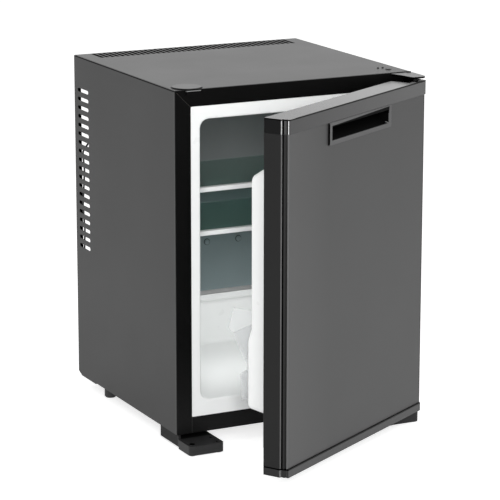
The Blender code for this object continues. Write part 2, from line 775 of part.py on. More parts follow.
# Evaporator, shield and drip gutter
fins = [(FIN_HALF_WIDTH, CAVITY_BACK - GAP), (-FIN_HALF_WIDTH, CAVITY_BACK - GAP)]
fin_root = CAVITY_BACK - GAP - FIN_BASE
pitch = (2 * FIN_HALF_WIDTH - FIN_THICK) / (FIN_COUNT - 1)
for i in range(FIN_COUNT):
    left = -FIN_HALF_WIDTH + i * pitch
    right = left + FIN_THICK
    if i:
        fins.append((left, fin_root))
    fins.append((left, FIN_FRONT))
    fins.append((right, FIN_FRONT))
    if i < FIN_COUNT - 1:
        fins.append((right, fin_root))
placed("evaporator_fins", prism(fins, "Z", FIN_BOTTOM, FIN_TOP), ZINC)

rear = CAVITY_BACK - GAP
inner = SHIELD_HALF_WIDTH - SHIELD_WALL
half_wall = SHIELD_WALL / 2
bevel_back = SHIELD_FRONT + SHIELD_BEVEL
shield_outline = [(-SHIELD_HALF_WIDTH, rear), (-SHIELD_HALF_WIDTH, bevel_back),
                  (-SHIELD_HALF_WIDTH + SHIELD_BEVEL, SHIELD_FRONT),
                  (SHIELD_HALF_WIDTH - SHIELD_BEVEL, SHIELD_FRONT), (SHIELD_HALF_WIDTH, bevel_back),
                  (SHIELD_HALF_WIDTH, rear), (inner, rear), (inner, bevel_back + half_wall),
                  (inner - SHIELD_BEVEL + half_wall, SHIELD_FRONT + SHIELD_WALL),
                  (-inner + SHIELD_BEVEL - half_wall, SHIELD_FRONT + SHIELD_WALL),
                  (-inner, bevel_back + half_wall), (-inner, rear)]
shield = placed("evaporator_shield", prism(shield_outline, "Z", SHIELD_BOTTOM, SHIELD_TOP), TEAL)
bolt_holes = bmesh.new()
bolt_seat = SHIELD_FRONT - GAP
bolt_profile = [(BOLT_RADIUS * 0.7, bolt_seat - BOLT_HEAD), (BOLT_RADIUS, bolt_seat - BOLT_HEAD / 2),
                (BOLT_RADIUS, bolt_seat), (BOLT_SHANK, bolt_seat), (BOLT_SHANK, bolt_seat + BOLT_LENGTH)]
for name, sign in (("left", -1), ("right", 1)):
    place = (sign * BOLT_SPACING / 2, BOLT_HEIGHT)
    disc(place, BOLT_SHANK + GAP, "Y", SHIELD_FRONT - SHEET, SHIELD_FRONT + SHIELD_WALL + SHEET, 12, bolt_holes)
    placed("shield_bolt_" + name, loft(turned_solid(bolt_profile, place, 20, "Y")), TEAL, smooth=True)
cut(shield, "bolt_hole_cutter", bolt_holes)

gutter_top = GUTTER_BOTTOM + GUTTER_HEIGHT
gutter_front = rear - GUTTER_DEPTH
wall = SHIELD_WALL
lip_top = GUTTER_BOTTOM + GUTTER_LIP
gutter = [(rear, gutter_top), (rear, GUTTER_BOTTOM), (gutter_front + GUTTER_BEVEL, GUTTER_BOTTOM),
          (gutter_front, GUTTER_BOTTOM + GUTTER_BEVEL), (gutter_front, lip_top),
          (gutter_front + wall, lip_top), (gutter_front + wall, GUTTER_BOTTOM + GUTTER_BEVEL + half_wall),
          (gutter_front + wall + GUTTER_BEVEL - half_wall, GUTTER_BOTTOM + wall),
          (rear - wall, GUTTER_BOTTOM + wall), (rear - wall, gutter_top)]
placed("drip_channel", prism(gutter, "X", -GUTTER_HALF_WIDTH, GUTTER_HALF_WIDTH), WHITE)

# Shelves
shelf_half = OPEN_HALF - SHELF_SIDE_GAP
for level, top in SHELF_HEIGHTS.items():
    glass_top = top - TRIM_WALL
    glass_low = glass_top - GLASS_THICK
    trim_low = top - TRIM_HEIGHT
    slot_back = SHELF_FRONT + TRIM_WALL
    pane = rounded(-shelf_half, shelf_half, slot_back + GAP, SHELF_BACK, SHELF_CORNER, 2)
    placed("shelf_glass_" + level, prism(pane, "Z", glass_low, glass_top), GLASS)
    upper = glass_top + GAP
    lower = glass_low - GAP
    rear_edge = SHELF_FRONT + TRIM_DEPTH
    bevelled = SHELF_FRONT + TRIM_BEVEL
    trim = [(SHELF_FRONT, trim_low + TRIM_BEVEL), (bevelled, trim_low), (rear_edge, trim_low),
            (rear_edge, lower), (slot_back, lower), (slot_back, upper), (rear_edge, upper),
            (rear_edge, top), (bevelled, top), (SHELF_FRONT, top - TRIM_BEVEL)]
    placed("shelf_trim_" + level, prism(trim, "X", -shelf_half, shelf_half), WHITE)

# Feet
glide_profile = [(GLIDE_RADIUS - GLIDE_BEVEL, -FOOT_HEIGHT), (GLIDE_RADIUS, -FOOT_HEIGHT + GLIDE_BEVEL),
                 (GLIDE_RADIUS, FOOT_BOTTOM - GAP)]
pin_seat_floor = FOOT_STEP - PIN_SEAT_DEPTH
for name, sign in (("left", -1), ("right", 1)):
    low = min(sign * FOOT_INNER, sign * FOOT_OUTER)
    high = max(sign * FOOT_INNER, sign * FOOT_OUTER)
    plan = rounded(low, high, FOOT_FRONT, FOOT_BACK, FOOT_CORNER)
    foot = placed("front_foot_" + name, prism(plan, "Z", FOOT_BOTTOM, -GAP), BLACK, smooth=True)
    inside = sign * (FOOT_INNER - SHEET)
    outside = sign * (FOOT_OUTER + SHEET)
    wall = sign * (FOOT_OUTER - FOOT_WALL)
    step = [(inside, FOOT_FRONT - SHEET), (outside, FOOT_FRONT - SHEET), (outside, FOOT_STEP_BACK),
            (wall, FOOT_STEP_BACK), (wall, FOOT_RECESS_BACK), (inside, FOOT_RECESS_BACK)]
    cut(foot, "foot_step_" + name, prism(step, "Z", FOOT_STEP, SHEET))
    cut(foot, "foot_heel_" + name, box((low - SHEET, FOOT_HEEL, FOOT_BOTTOM - SHEET),
                                       (high + SHEET, FOOT_BACK + SHEET, FOOT_HEEL_BOTTOM)))
    bores = disc((sign * HINGE_X, HINGE_Y), PIN_RADIUS + GAP, "Z", pin_seat_floor, 0.0, 20)
    for dx, dy in FOOT_HOLES:
        disc((sign * (HINGE_X - dx), HINGE_Y + dy), FOOT_HOLE_RADIUS, "Z", FOOT_STEP - FOOT_HOLE_DEPTH, 0.0, 12,
             bores)
    cut(foot, "foot_bores_" + name, bores)
    for place, x in (("inner", FOOT_INNER + GLIDE_INNER_EDGE), ("outer", FOOT_OUTER - GLIDE_EDGE)):
        glide = turned_solid(glide_profile, (sign * x, FOOT_FRONT + GLIDE_EDGE), 16)
        placed("glide_" + name + "_" + place, loft(glide), PALE, smooth=True)
tray_low = -GAP - TRAY_THICK
tray_plan = rounded(-side, side, TRAY_FRONT, TRAY_BACK, TRAY_CORNER, 2)
tray = placed("rear_tray", prism(tray_plan, "Z", tray_low, -GAP), BLACK_STEEL)
vents = bmesh.new()
for i in range(VENT_COUNT):
    across = (i - (VENT_COUNT - 1) / 2) * VENT_PITCH
    vent = rounded(across - VENT_WIDTH / 2, across + VENT_WIDTH / 2, BAY_FRONT + VENT_MARGIN,
                   TRAY_BACK - VENT_MARGIN, VENT_CORNER, 2)
    prism(vent, "Z", tray_low - SHEET, SHEET, vents)
cut(tray, "tray_vent_cutter", vents)
rear_foot_profile = [(REAR_FOOT_RADIUS - REAR_FOOT_BEVEL, -FOOT_HEIGHT),
                     (REAR_FOOT_RADIUS, -FOOT_HEIGHT + REAR_FOOT_BEVEL),
                     (REAR_FOOT_RADIUS, -GAP - REAR_FOOT_BEVEL), (REAR_FOOT_RADIUS - REAR_FOOT_BEVEL, -GAP)]
for name, sign in (("left", -1), ("right", 1)):
    rear_foot = turned_solid(rear_foot_profile, (sign * REAR_FOOT_X, REAR_FOOT_Y))
    placed("rear_foot_" + name, loft(rear_foot), SEAL, smooth=True)

# Top hinge and the cover of the unused hinge seat
bracket_right = HINGE_X + BRACKET_TONGUE[-1][0]
bracket_plan = [(BRACKET_LEFT, BRACKET_BACK), (BRACKET_LEFT, 0.0)]
bracket_plan += [(HINGE_X + dx, HINGE_Y + dy) for dx, dy in BRACKET_TONGUE]
bracket_plan += [(bracket_right, -BRACKET_FRAME_GAP), (BRACKET_NECK_RIGHT, -BRACKET_FRAME_GAP),
                 (BRACKET_NECK_RIGHT, BRACKET_BACK)]
bracket = placed("top_hinge_bracket", prism(bracket_plan, "Z", BRACKET_BOTTOM, BRACKET_TOP), PALE)
pin_seat = BRACKET_BOTTOM + BRACKET_SEAT
cut(bracket, "bracket_pin_seat", disc((HINGE_X, HINGE_Y), PIN_RADIUS + GAP, "Z", BRACKET_BOTTOM - SHEET,
                                      pin_seat, 20))
top_holes = bmesh.new()
cap_low = HEIGHT + GAP
for number, (dx, dy, head) in enumerate(BRACKET_SCREWS, start=1):
    place = (HINGE_X + dx, HINGE_Y + dy)
    screw = turned_solid([(BRACKET_SCREW_RADIUS, BRACKET_BOTTOM + 3 * GAP), (BRACKET_SCREW_RADIUS, cap_low),
                          (head, cap_low), (head, cap_low + BRACKET_SCREW_HEAD / 2),
                          (head * 0.7, cap_low + BRACKET_SCREW_HEAD)], place, 16)
    placed("bracket_screw_" + str(number), loft(screw), BLACK_STEEL, smooth=True)
    disc(place, BRACKET_SCREW_RADIUS + GAP, "Z", BRACKET_BOTTOM + 2 * GAP, HEIGHT + SHEET, 12, top_holes)
cut(bracket, "bracket_screw_holes", top_holes.copy())
cut(outer_wrap, "wrap_screw_holes", top_holes)
top_pin = disc((HINGE_X, HINGE_Y), PIN_RADIUS, "Z", CAP_TOP_LINE + TOP_PIN_RISE, pin_seat - GAP, 20)
placed("top_hinge_pin", top_pin, STEEL, smooth=True)
bottom_pin = disc((HINGE_X, HINGE_Y), PIN_RADIUS, "Z", pin_seat_floor + GAP,
                  CAP_BOTTOM_LINE - BOTTOM_PIN_COVER, 20)
placed("bottom_hinge_pin", bottom_pin, STEEL, smooth=True)

plug_top = cap_low + PLUG_HEIGHT
plug_loops = turned_solid([(PLUG_RADIUS, cap_low), (PLUG_RADIUS, plug_top - PLUG_BEVEL),
                           (PLUG_RADIUS - PLUG_BEVEL, plug_top)], (PLUG_X, PLUG_Y), 40)
plug = placed("hinge_hole_plug", loft(plug_loops), BLACK, smooth=True)
tab_low = HEIGHT - PLUG_TAB_DROP
tab_top = cap_low + PLUG_TAB_THICK
tab_rear = PLUG_Y - PLUG_RADIUS / 2
tab = [(-PLUG_TAB_REACH, tab_low), (-GAP, tab_low), (-GAP, cap_low), (tab_rear, cap_low),
       (tab_rear, tab_top), (-PLUG_TAB_REACH + SHEET, tab_top), (-PLUG_TAB_REACH, tab_top - SHEET)]
join(plug, "plug_tab", prism(tab, "X", PLUG_X - PLUG_TAB_HALF, PLUG_X + PLUG_TAB_HALF))

# Cooling unit in the rear bay
vessel_y = BAY_FRONT + UNIT_FRONT_GAP + VESSEL_RADIUS + VESSEL_WALL_GAP
profile = []
for i in range(1, VESSEL_STEPS + 1):
    angle = math.radians(90 * i / VESSEL_STEPS)
    dome = VESSEL_RADIUS * VESSEL_DOME * (1 - math.cos(angle))
    profile.append((VESSEL_RADIUS * math.sin(angle), VESSEL_LEFT + dome))
profile += [(radius, VESSEL_LEFT + VESSEL_RIGHT - along) for radius, along in reversed(profile)]
placed("absorber_vessel", loft(turned_solid(profile, (vessel_y, VESSEL_HEIGHT), 24, "X")),
       BLACK_STEEL, smooth=True)

coil_corners = [(COIL_LEFT, vessel_y, VESSEL_HEIGHT + VESSEL_RADIUS + GAP)]
first_run = VESSEL_HEIGHT + VESSEL_RADIUS + COIL_START
for i in range(COIL_RUNS):
    level = first_run + i * COIL_PITCH
    ends = (COIL_LEFT, COIL_RIGHT) if i % 2 == 0 else (COIL_RIGHT, COIL_LEFT)
    coil_corners.append((ends[0], vessel_y, level))
    coil_corners.append((ends[1], vessel_y, level + COIL_FALL))
coil_corners.append((ends[1], vessel_y, level + COIL_PITCH))
placed("absorber_coil", tube(bent_path(coil_corners, COIL_BEND, 3), COIL_RADIUS), BLACK_STEEL, smooth=True)

condenser_y = BAY_FRONT + UNIT_FRONT_GAP + COOLING_FIN_SIZE / 2
return_y = condenser_y + CONDENSER_SETBACK
return_x = CONDENSER_LEFT - CONDENSER_OVERHANG
condenser_corners = [(COLD_PIPE_X, CAVITY_BACK + GAP, COLD_PIPE_HEIGHT),
                     (COLD_PIPE_X, return_y, COLD_PIPE_HEIGHT),
                     (return_x, return_y, COLD_PIPE_HEIGHT + COLD_PIPE_RISE),
                     (return_x, condenser_y, CONDENSER_HEIGHT - CONDENSER_FALL),
                     (CONDENSER_RIGHT, condenser_y, CONDENSER_HEIGHT)]
placed("condenser_pipe", tube(bent_path(condenser_corners, CONDENSER_BEND, 4), CONDENSER_RADIUS), BLACK_STEEL,
       smooth=True)


def condenser_height(x):
    share = (x - return_x) / (CONDENSER_RIGHT - return_x)
    return CONDENSER_HEIGHT - CONDENSER_FALL * (1 - share)


def fin_loops():
    """Square plates pressed on one collar that slides over the condenser pipe."""
    sides = 12
    bore = (CONDENSER_RADIUS + GAP) * 1.04
    collar = bore + COLLAR_WALL
    half = COOLING_FIN_SIZE / 2

    def ring(x, reach, square=False):
        points = []
        for k in range(sides):
            angle = 2 * math.pi * (k + 0.5) / sides
            far = reach / max(abs(math.cos(angle)), abs(math.sin(angle))) if square else reach
            points.append((x, condenser_y + far * math.cos(angle),
                           condenser_height(x) + far * math.sin(angle)))
        return points

    span = (COOLING_FIN_COUNT - 1) * COOLING_FIN_PITCH
    first = (CONDENSER_LEFT + CONDENSER_RIGHT - span) / 2
    loops = [ring(first - COLLAR_END, bore), ring(first - COLLAR_END, collar)]
    for i in range(COOLING_FIN_COUNT):
        near = first + i * COOLING_FIN_PITCH
        far = near + COOLING_FIN_THICK
        loops += [ring(near, collar), ring(near, half, True), ring(far, half, True), ring(far, collar)]
    loops += [ring(far + COLLAR_END, collar), ring(far + COLLAR_END, bore)]
    return loops


placed("condenser_fins", loft(fin_loops(), closed=True), ZINC)

casing_y = BAY_FRONT + GAP + SHEET + CASING_DEPTH / 2
casing_left = CASING_X - CASING_WIDTH / 2
casing_plan = rounded(casing_left, casing_left + CASING_WIDTH, casing_y - CASING_DEPTH / 2,
                      casing_y + CASING_DEPTH / 2, CASING_CORNER, 3)
placed("boiler_casing", prism(casing_plan, "Z", CASING_BOTTOM, CASING_TOP), ZINC, smooth=True)
rise = [(CASING_X, casing_y, CASING_TOP + GAP), (CASING_X, casing_y, CONDENSER_HEIGHT),
        (CONDENSER_RIGHT + GAP, casing_y, CONDENSER_HEIGHT)]
placed("vapour_pipe", tube(bent_path(rise, PIPE_BEND, 4), PIPE_RADIUS), BLACK_STEEL, smooth=True)
exchanger = [(VESSEL_RIGHT + GAP, vessel_y, VESSEL_HEIGHT),
             (casing_left - GAP, vessel_y, VESSEL_HEIGHT)]
placed("heat_exchanger", tube(exchanger, EXCHANGER_RADIUS, 12), BLACK_STEEL, smooth=True)

strap_low = BAY_FRONT + GAP
strap_face = strap_low + STRAP_THICK
grips = [(VESSEL_HEIGHT, vessel_y - VESSEL_RADIUS - GAP, STRAP_VESSEL_GRIP)]
for i in range(COIL_RUNS):
    level = first_run + i * COIL_PITCH + COIL_FALL / 2
    grips.append((level, vessel_y - COIL_RADIUS - GAP, STRAP_COIL_GRIP))
strap = []
for level, face, grip in grips:
    strap += [(strap_face, level - grip - STRAP_SPREAD), (face, level - grip), (face, level + grip),
              (strap_face, level + grip + STRAP_SPREAD)]
strap = [(strap_low, strap[0][1])] + strap + [(strap_low, strap[-1][1])]
strap_x = (COIL_LEFT + COIL_RIGHT) / 2
placed("unit_strap", prism(strap, "X", strap_x - STRAP_WIDTH / 2, strap_x + STRAP_WIDTH / 2), ZINC)

# Control box, mains inlet and the sensor's clipped lead
box_left = -side + GAP
box_right = box_left + BOX_WIDTH
box_front = BAY_FRONT + GAP
box_back = box_front + BOX_DEPTH
control = rounded(box_left, box_right, BOX_BOTTOM, BOX_TOP, BOX_CORNER, 2)
control_box = placed("control_box", prism(control, "Y", box_front, box_back), BLACK_STEEL)
inlet_x = (box_left + box_right) / 2
inlet_z = (BOX_BOTTOM + BOX_TOP) / 2


def inlet_outline(grow, corner):
    half_width = INLET_WIDTH / 2 + grow
    half_height = INLET_HEIGHT / 2 + grow
    return rounded(inlet_x - half_width, inlet_x + half_width, inlet_z - half_height, inlet_z + half_height,
                   corner, 2)


seat_floor = box_back - INLET_DEPTH
cut(control_box, "inlet_seat", prism(inlet_outline(GAP, BOX_CORNER), "Y", seat_floor, box_back + SHEET))
mains_inlet = placed("mains_inlet", prism(inlet_outline(0.0, BOX_CORNER), "Y", seat_floor + GAP,
                                          box_back + INLET_PROUD), BLACK)
well_floor = box_back - INLET_WELL
cut(mains_inlet, "inlet_well", prism(inlet_outline(-INLET_WALL, BOX_CORNER - SHEET), "Y", well_floor,
                                     box_back + 2 * INLET_PROUD))
blades = bmesh.new()
for dx, dz in INLET_PINS:
    x = inlet_x + dx
    z = inlet_z + dz
    box((x - INLET_PIN_WIDTH / 2, well_floor - SHEET, z - INLET_PIN_HEIGHT / 2),
        (x + INLET_PIN_WIDTH / 2, box_back - SHEET, z + INLET_PIN_HEIGHT / 2), blades)
join(mains_inlet, "inlet_blades", blades)

lead_x = -side + LEAD_RADIUS + GAP
lead_y = box_front + LEAD_RADIUS
lead_start = lead_x + LEAD_OFFSET
lead_top = SIDE_SLOT_TOP - LEAD_TOP_SLOT * SIDE_SLOT_PITCH
lead_corners = [(lead_start, box_front + LEAD_BENDS[0][0], BOX_TOP + GAP)]
for number, (behind, share) in enumerate(LEAD_BENDS):
    lead_corners.append((lead_x if number else lead_start, box_front + behind,
                         BOX_TOP + share * (lead_top - BOX_TOP)))
lead_corners += [(lead_x, lead_y, lead_top), (box_right, lead_y, lead_top + LEAD_RISE)]
placed("sensor_lead", tube(bent_path(lead_corners, LEAD_BEND, 3), LEAD_RADIUS, 8), SEAL, smooth=True)


# Door

def door_y(b):
    return b + DOOR_FACE_Y


def door_x(a):
    return a + DOOR_LEFT_X


def edge_profile(mirrored):
    """Plan outline of an edge moulding, hollow behind its profiled corner."""
    points = [Vector((0.0, DOOR_THICK))] + door_corner(face=PANEL_RECESS)
    points.append(Vector((EDGE_WIDTH, PANEL_RECESS)))
    points.append(Vector((EDGE_WIDTH, EDGE_RETURN)))
    points.append(Vector((EDGE_WALL, EDGE_RETURN)))
    points.append(Vector((EDGE_WALL, DOOR_THICK - EDGE_WALL)))
    points.append(Vector((EDGE_WIDTH, DOOR_THICK - EDGE_WALL)))
    points.append(Vector((EDGE_WIDTH, DOOR_THICK)))
    if mirrored:
        points = [Vector((DOOR_WIDTH - p.x, p.y)) for p in points]
    return [door_xy(p.x, p.y) for p in points]


mid_low = CAP_BOTTOM_LINE + GAP
mid_high = CAP_TOP_LINE - GAP
for name, mirrored in (("left", False), ("right", True)):
    placed("door_edge_" + name, prism(edge_profile(mirrored), "Z", mid_low, mid_high), GRAPHITE, True)

handle_left = (DOOR_WIDTH - HANDLE_WIDTH) / 2
handle_right = handle_left + HANDLE_WIDTH
handle_top = mid_high
panel_left = EDGE_WIDTH + GAP
panel_right = DOOR_WIDTH - EDGE_WIDTH - GAP
panel = [(panel_left, mid_low), (panel_right, mid_low), (panel_right, mid_high),
         (handle_right + GAP, mid_high), (handle_right + GAP, HANDLE_BOTTOM - GAP),
         (handle_left - GAP, HANDLE_BOTTOM - GAP), (handle_left - GAP, mid_high), (panel_left, mid_high)]
placed("door_front_panel", prism([(door_x(a), z) for a, z in panel], "Y", door_y(PANEL_RECESS),
                                 door_y(PANEL_RECESS + PANEL_THICK)), GRAPHITE, True)

cap_top = placed("door_cap_top", prism(cap_outline, "Z", CAP_TOP_LINE, DOOR_TOP), GRAPHITE, True)
pocket = box((door_x(POCKET_LEFT), door_y(POCKET_FRONT), POCKET_FLOOR),
             (door_x(POCKET_RIGHT), door_y(DOOR_THICK + SHEET), DOOR_TOP + SHEET))
cut(cap_top, "hinge_pocket", pocket, True)
cut(cap_top, "top_bush_bore", disc((HINGE_X, HINGE_Y), BUSH_RADIUS + GAP, "Z", CAP_TOP_LINE - SHEET,
                                   POCKET_FLOOR + SHEET, 20), True)
cap_bottom = placed("door_cap_bottom", prism(cap_outline, "Z", DOOR_BOTTOM, CAP_BOTTOM_LINE), GRAPHITE, True)
cut(cap_bottom, "bottom_bush_bore", disc((HINGE_X, HINGE_Y), BUSH_RADIUS + GAP, "Z", DOOR_BOTTOM - SHEET,
                                         CAP_BOTTOM_LINE + SHEET, 20), True)


def bush(name, profile):
    """A sleeve that turns on the hinge pin."""
    loops = turned_solid(profile, (HINGE_X, HINGE_Y), 20)
    return placed(name, loft(loops, closed=True), PALE, True, smooth=True)


bush_bore = PIN_RADIUS + RUNNING_GAP
bush_flange = BUSH_RADIUS + BUSH_FLANGE
flange_top = DOOR_BOTTOM - GAP
flange_low = (flange_top + FOOT_STEP) / 2 - GAP
bush_top = CAP_BOTTOM_LINE - GAP
bush("top_hinge_bush", [(bush_bore, CAP_TOP_LINE + SHEET), (BUSH_RADIUS, CAP_TOP_LINE + SHEET),
                        (BUSH_RADIUS, POCKET_FLOOR), (bush_bore, POCKET_FLOOR)])
bush("bottom_hinge_bush", [(bush_bore, flange_low), (bush_flange, flange_low), (bush_flange, flange_top),
                           (BUSH_RADIUS, flange_top), (BUSH_RADIUS, bush_top), (bush_bore, bush_top)])


handle_plan = rounded(door_x(handle_left), door_x(handle_right), HANDLE_BOTTOM, handle_top, HANDLE_CORNER, 2)
handle = placed("handle_insert", prism(handle_plan, "Y", door_y(-HANDLE_PROUD),
                                       door_y(HANDLE_POCKET_DEPTH + HANDLE_WALL)), BLACK, True)
low = HANDLE_BOTTOM + HANDLE_BAND
lip = handle_top - HANDLE_BAND
ceiling = handle_top - HANDLE_WALL
front = -2 * HANDLE_PROUD
scoop = [(front, low), (HANDLE_LIP / 2, low), (HANDLE_POCKET_DEPTH - SCOOP_FILLET, ceiling - SCOOP_RISE),
         (HANDLE_POCKET_DEPTH, ceiling - SCOOP_RISE + SCOOP_FILLET),
         (HANDLE_POCKET_DEPTH, ceiling - SCOOP_BEVEL), (HANDLE_POCKET_DEPTH - SCOOP_BEVEL, ceiling),
         (HANDLE_LIP, ceiling), (HANDLE_LIP, lip), (front, lip)]
cut(handle, "finger_pocket", prism([(door_y(b), z) for b, z in scoop], "X",
                                   door_x(handle_left + HANDLE_BAND), door_x(handle_right - HANDLE_BAND)), True)


def crest(z, drop=0.0):
    """Height of the rim's crest over the door's face, lower above the bottle rack."""
    share = (z - RIM_HIGH_BELOW) / (RIM_LOW_ABOVE - RIM_HIGH_BELOW)
    share = min(max(share, 0.0), 1.0)
    return RIM_HIGH + (RIM_LOW - RIM_HIGH) * share - drop


def door_loop(inset, bottom, top, radius, depth):
    levels = (RIM_HIGH_BELOW, RIM_LOW_ABOVE)
    loop = []
    for a, z in rounded(inset, DOOR_WIDTH - inset, bottom, top, radius, 4, levels):
        b = depth(z) if callable(depth) else depth
        loop.append((door_x(a), door_y(b), z))
    return loop


def rim_loops(thick, base_depth):
    """Loops over the raised rim, from the flange inward, set back by a thickness."""
    outer = RIM_CREST_INSET + thick
    inner = RIM_CREST_INSET + RIM_CREST_WIDTH - thick
    top = RIM_CREST_TOP - thick
    low = RIM_CREST_BOTTOM + thick
    width = RIM_CREST_WIDTH - 2 * thick
    pan = PAN_DEPTH - thick
    soft = RIM_SOFT
    tight = RIM_CORNER - soft
    foot = soft * 0.6
    return [door_loop(RIM_BASE_INSET + thick, RIM_BASE_BOTTOM + thick, RIM_BASE_TOP - thick, RIM_BASE_CORNER,
                      base_depth),
            door_loop(outer - soft / 4, low - soft / 2, top + soft, RIM_CORNER, lambda z: crest(z, thick + soft)),
            door_loop(outer, low, top + soft / 4, RIM_CORNER, lambda z: crest(z, thick + soft * 0.3)),
            door_loop(outer + soft, low + soft, top - soft, RIM_CORNER - foot, lambda z: crest(z, thick)),
            door_loop(inner - soft, low + width - soft, top - width + soft, tight, lambda z: crest(z, thick)),
            door_loop(inner, low + width, top - width, tight, lambda z: crest(z, thick + soft)),
            door_loop(inner + foot, low + width + foot, top - width - foot, tight, pan + 1.6 * soft),
            door_loop(inner + 2 * soft, low + width + 2 * soft, top - width - 2 * soft, tight - foot / 2, pan)]


back_plane = DOOR_THICK + GAP
front_face = back_plane + DOOR_LINER_THICK
flange_back = door_loop(DOOR_FLANGE_INSET, DOOR_FLANGE_BOTTOM, DOOR_FLANGE_TOP, DOOR_FLANGE_CORNER,
                        back_plane)
flange_front = door_loop(DOOR_FLANGE_INSET, DOOR_FLANGE_BOTTOM, DOOR_FLANGE_TOP, DOOR_FLANGE_CORNER,
                         front_face)
liner_loops = list(reversed(rim_loops(DOOR_LINER_THICK, back_plane))) + [flange_back, flange_front]
liner_loops += rim_loops(0.0, front_face)
placed("door_liner", loft(liner_loops), WHITE, True, smooth=True)

foam_left = EDGE_WIDTH + GAP
foam_front = PANEL_RECESS + PANEL_THICK + GAP
foam_loops = [door_loop(foam_left, mid_low + GAP, mid_high, PANEL_THICK, foam_front),
              door_loop(foam_left, mid_low + GAP, mid_high, PANEL_THICK, DOOR_THICK)]
foam_loops += rim_loops(DOOR_LINER_THICK + GAP, DOOR_THICK)
door_foam = placed("door_foam", loft(foam_loops), FOAM, True)
cut(door_foam, "handle_room", box((door_x(handle_left - GAP), door_y(0.0), HANDLE_BOTTOM - GAP),
                                  (door_x(handle_right + GAP),
                                   door_y(HANDLE_POCKET_DEPTH + HANDLE_WALL + GAP), DOOR_TOP)), True)

seal_low = front_face + GAP
seal_high = DOOR_THICK + DOOR_GAP - GAP
seal_mid = seal_low + SEAL_ROLL
seal_profile = [(SEAL_BEVEL, seal_low), (0.0, seal_mid), (0.0, seal_high), (SEAL_WIDTH, seal_high),
                (SEAL_WIDTH, seal_mid), (SEAL_WIDTH - SEAL_BEVEL, seal_low)]
seal_loops = []
for inset, b in seal_profile:
    ring = rounded(SEAL_FREE_INSET + inset, DOOR_WIDTH - SEAL_HINGE_INSET - inset, SEAL_BOTTOM + inset,
                   SEAL_TOP - inset, SEAL_CORNER - inset, 4)
    seal_loops.append([(door_x(a), door_y(b), z) for a, z in ring])
placed("door_gasket", loft(seal_loops, closed=True), SEAL, True, smooth=True)

# Clear rack that sits on the rim's lower crest
rack_back = PAN_DEPTH + GAP
saddle = RIM_CREST_BOTTOM + RIM_CREST_WIDTH + RACK_OVER_CREST
over = RIM_HIGH + GAP
end_outline = [(rack_back, saddle), (over, saddle), (over, RACK_TAB_BOTTOM)]
end_outline += list(RACK_FRONT + RACK_WING)
end_outline.append((rack_back, RACK_BACK_TOP))
rack = placed("bottle_rack", prism([(door_y(b), z) for b, z in end_outline], "X", door_x(RACK_INSET),
                                   door_x(DOOR_WIDTH - RACK_INSET)), CLEAR, True)
w = RACK_WALL
tip_depth, tip_height = RACK_FRONT[-1]
beyond = tip_depth + 10 * w
above = RACK_WING[-1][1] + w
hollow = [(rack_back + w, saddle + w), (over + w, saddle + w), (over + w, RACK_TAB_BOTTOM + w),
          (RACK_FRONT[0][0] - w, RACK_TAB_BOTTOM + w)]
hollow += [(b - w, z - w * 0.4) for b, z in RACK_FRONT[1:3]]
hollow += [(RACK_FRONT[3][0] - w, RACK_FRONT[3][1] + w * 0.3), (tip_depth - w, tip_height), (beyond, tip_height),
           (beyond, above), (rack_back + w, above)]
cut(rack, "rack_hollow", prism([(door_y(b), z) for b, z in hollow], "X", door_x(RACK_INSET + w),
                               door_x(DOOR_WIDTH - RACK_INSET - w)), True)
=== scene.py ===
# %% [markdown]
# A small free-standing refrigerator with its door ajar, dressed for a product picture.
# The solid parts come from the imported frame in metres. This lesson gives them their
# finishes, softens their edges, and adds the fine pieces that only a close look shows.

# %% Load the frame
import math

import bmesh
import bpy
from mathutils import Matrix, Vector


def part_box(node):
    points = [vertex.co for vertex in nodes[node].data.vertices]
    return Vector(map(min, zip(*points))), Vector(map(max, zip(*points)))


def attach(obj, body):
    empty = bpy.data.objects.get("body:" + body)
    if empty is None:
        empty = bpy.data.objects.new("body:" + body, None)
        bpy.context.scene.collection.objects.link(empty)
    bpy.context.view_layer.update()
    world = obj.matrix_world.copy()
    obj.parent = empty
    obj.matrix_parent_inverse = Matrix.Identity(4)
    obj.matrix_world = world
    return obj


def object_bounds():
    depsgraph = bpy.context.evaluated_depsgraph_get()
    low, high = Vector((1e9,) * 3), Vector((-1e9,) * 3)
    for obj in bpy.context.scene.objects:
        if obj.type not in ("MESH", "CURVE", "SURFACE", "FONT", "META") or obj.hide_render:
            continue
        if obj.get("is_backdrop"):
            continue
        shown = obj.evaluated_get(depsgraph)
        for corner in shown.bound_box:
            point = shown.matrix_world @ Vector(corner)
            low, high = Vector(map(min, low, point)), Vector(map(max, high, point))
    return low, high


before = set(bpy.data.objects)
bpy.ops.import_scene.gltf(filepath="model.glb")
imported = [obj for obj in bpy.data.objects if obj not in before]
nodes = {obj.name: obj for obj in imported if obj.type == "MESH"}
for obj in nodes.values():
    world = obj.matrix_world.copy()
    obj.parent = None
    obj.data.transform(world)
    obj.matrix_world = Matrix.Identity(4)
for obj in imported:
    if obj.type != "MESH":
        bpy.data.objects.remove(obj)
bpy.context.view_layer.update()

# %% [markdown]
# Places are worked out from the frame's own boxes, so that nothing has to be fitted.
# The cabinet's datum is the middle of its width, its front frame's face and its underside.

# %% Cabinet datum
ACROSS = (1.0, 0.0, 0.0)
INWARD = (0.0, 1.0, 0.0)
UPWARD = (0.0, 0.0, 1.0)
wrap_low, wrap_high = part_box("outer_wrap")
frame_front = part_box("frame_top")[0].y
DATUM = Vector(((wrap_low.x + wrap_high.x) / 2, frame_front, wrap_low.z))
print("cabinet datum at", [round(v, 4) for v in DATUM])


def cabinet(x, y, z):
    """A point given from the cabinet's datum."""
    return DATUM + Vector((x, y, z))


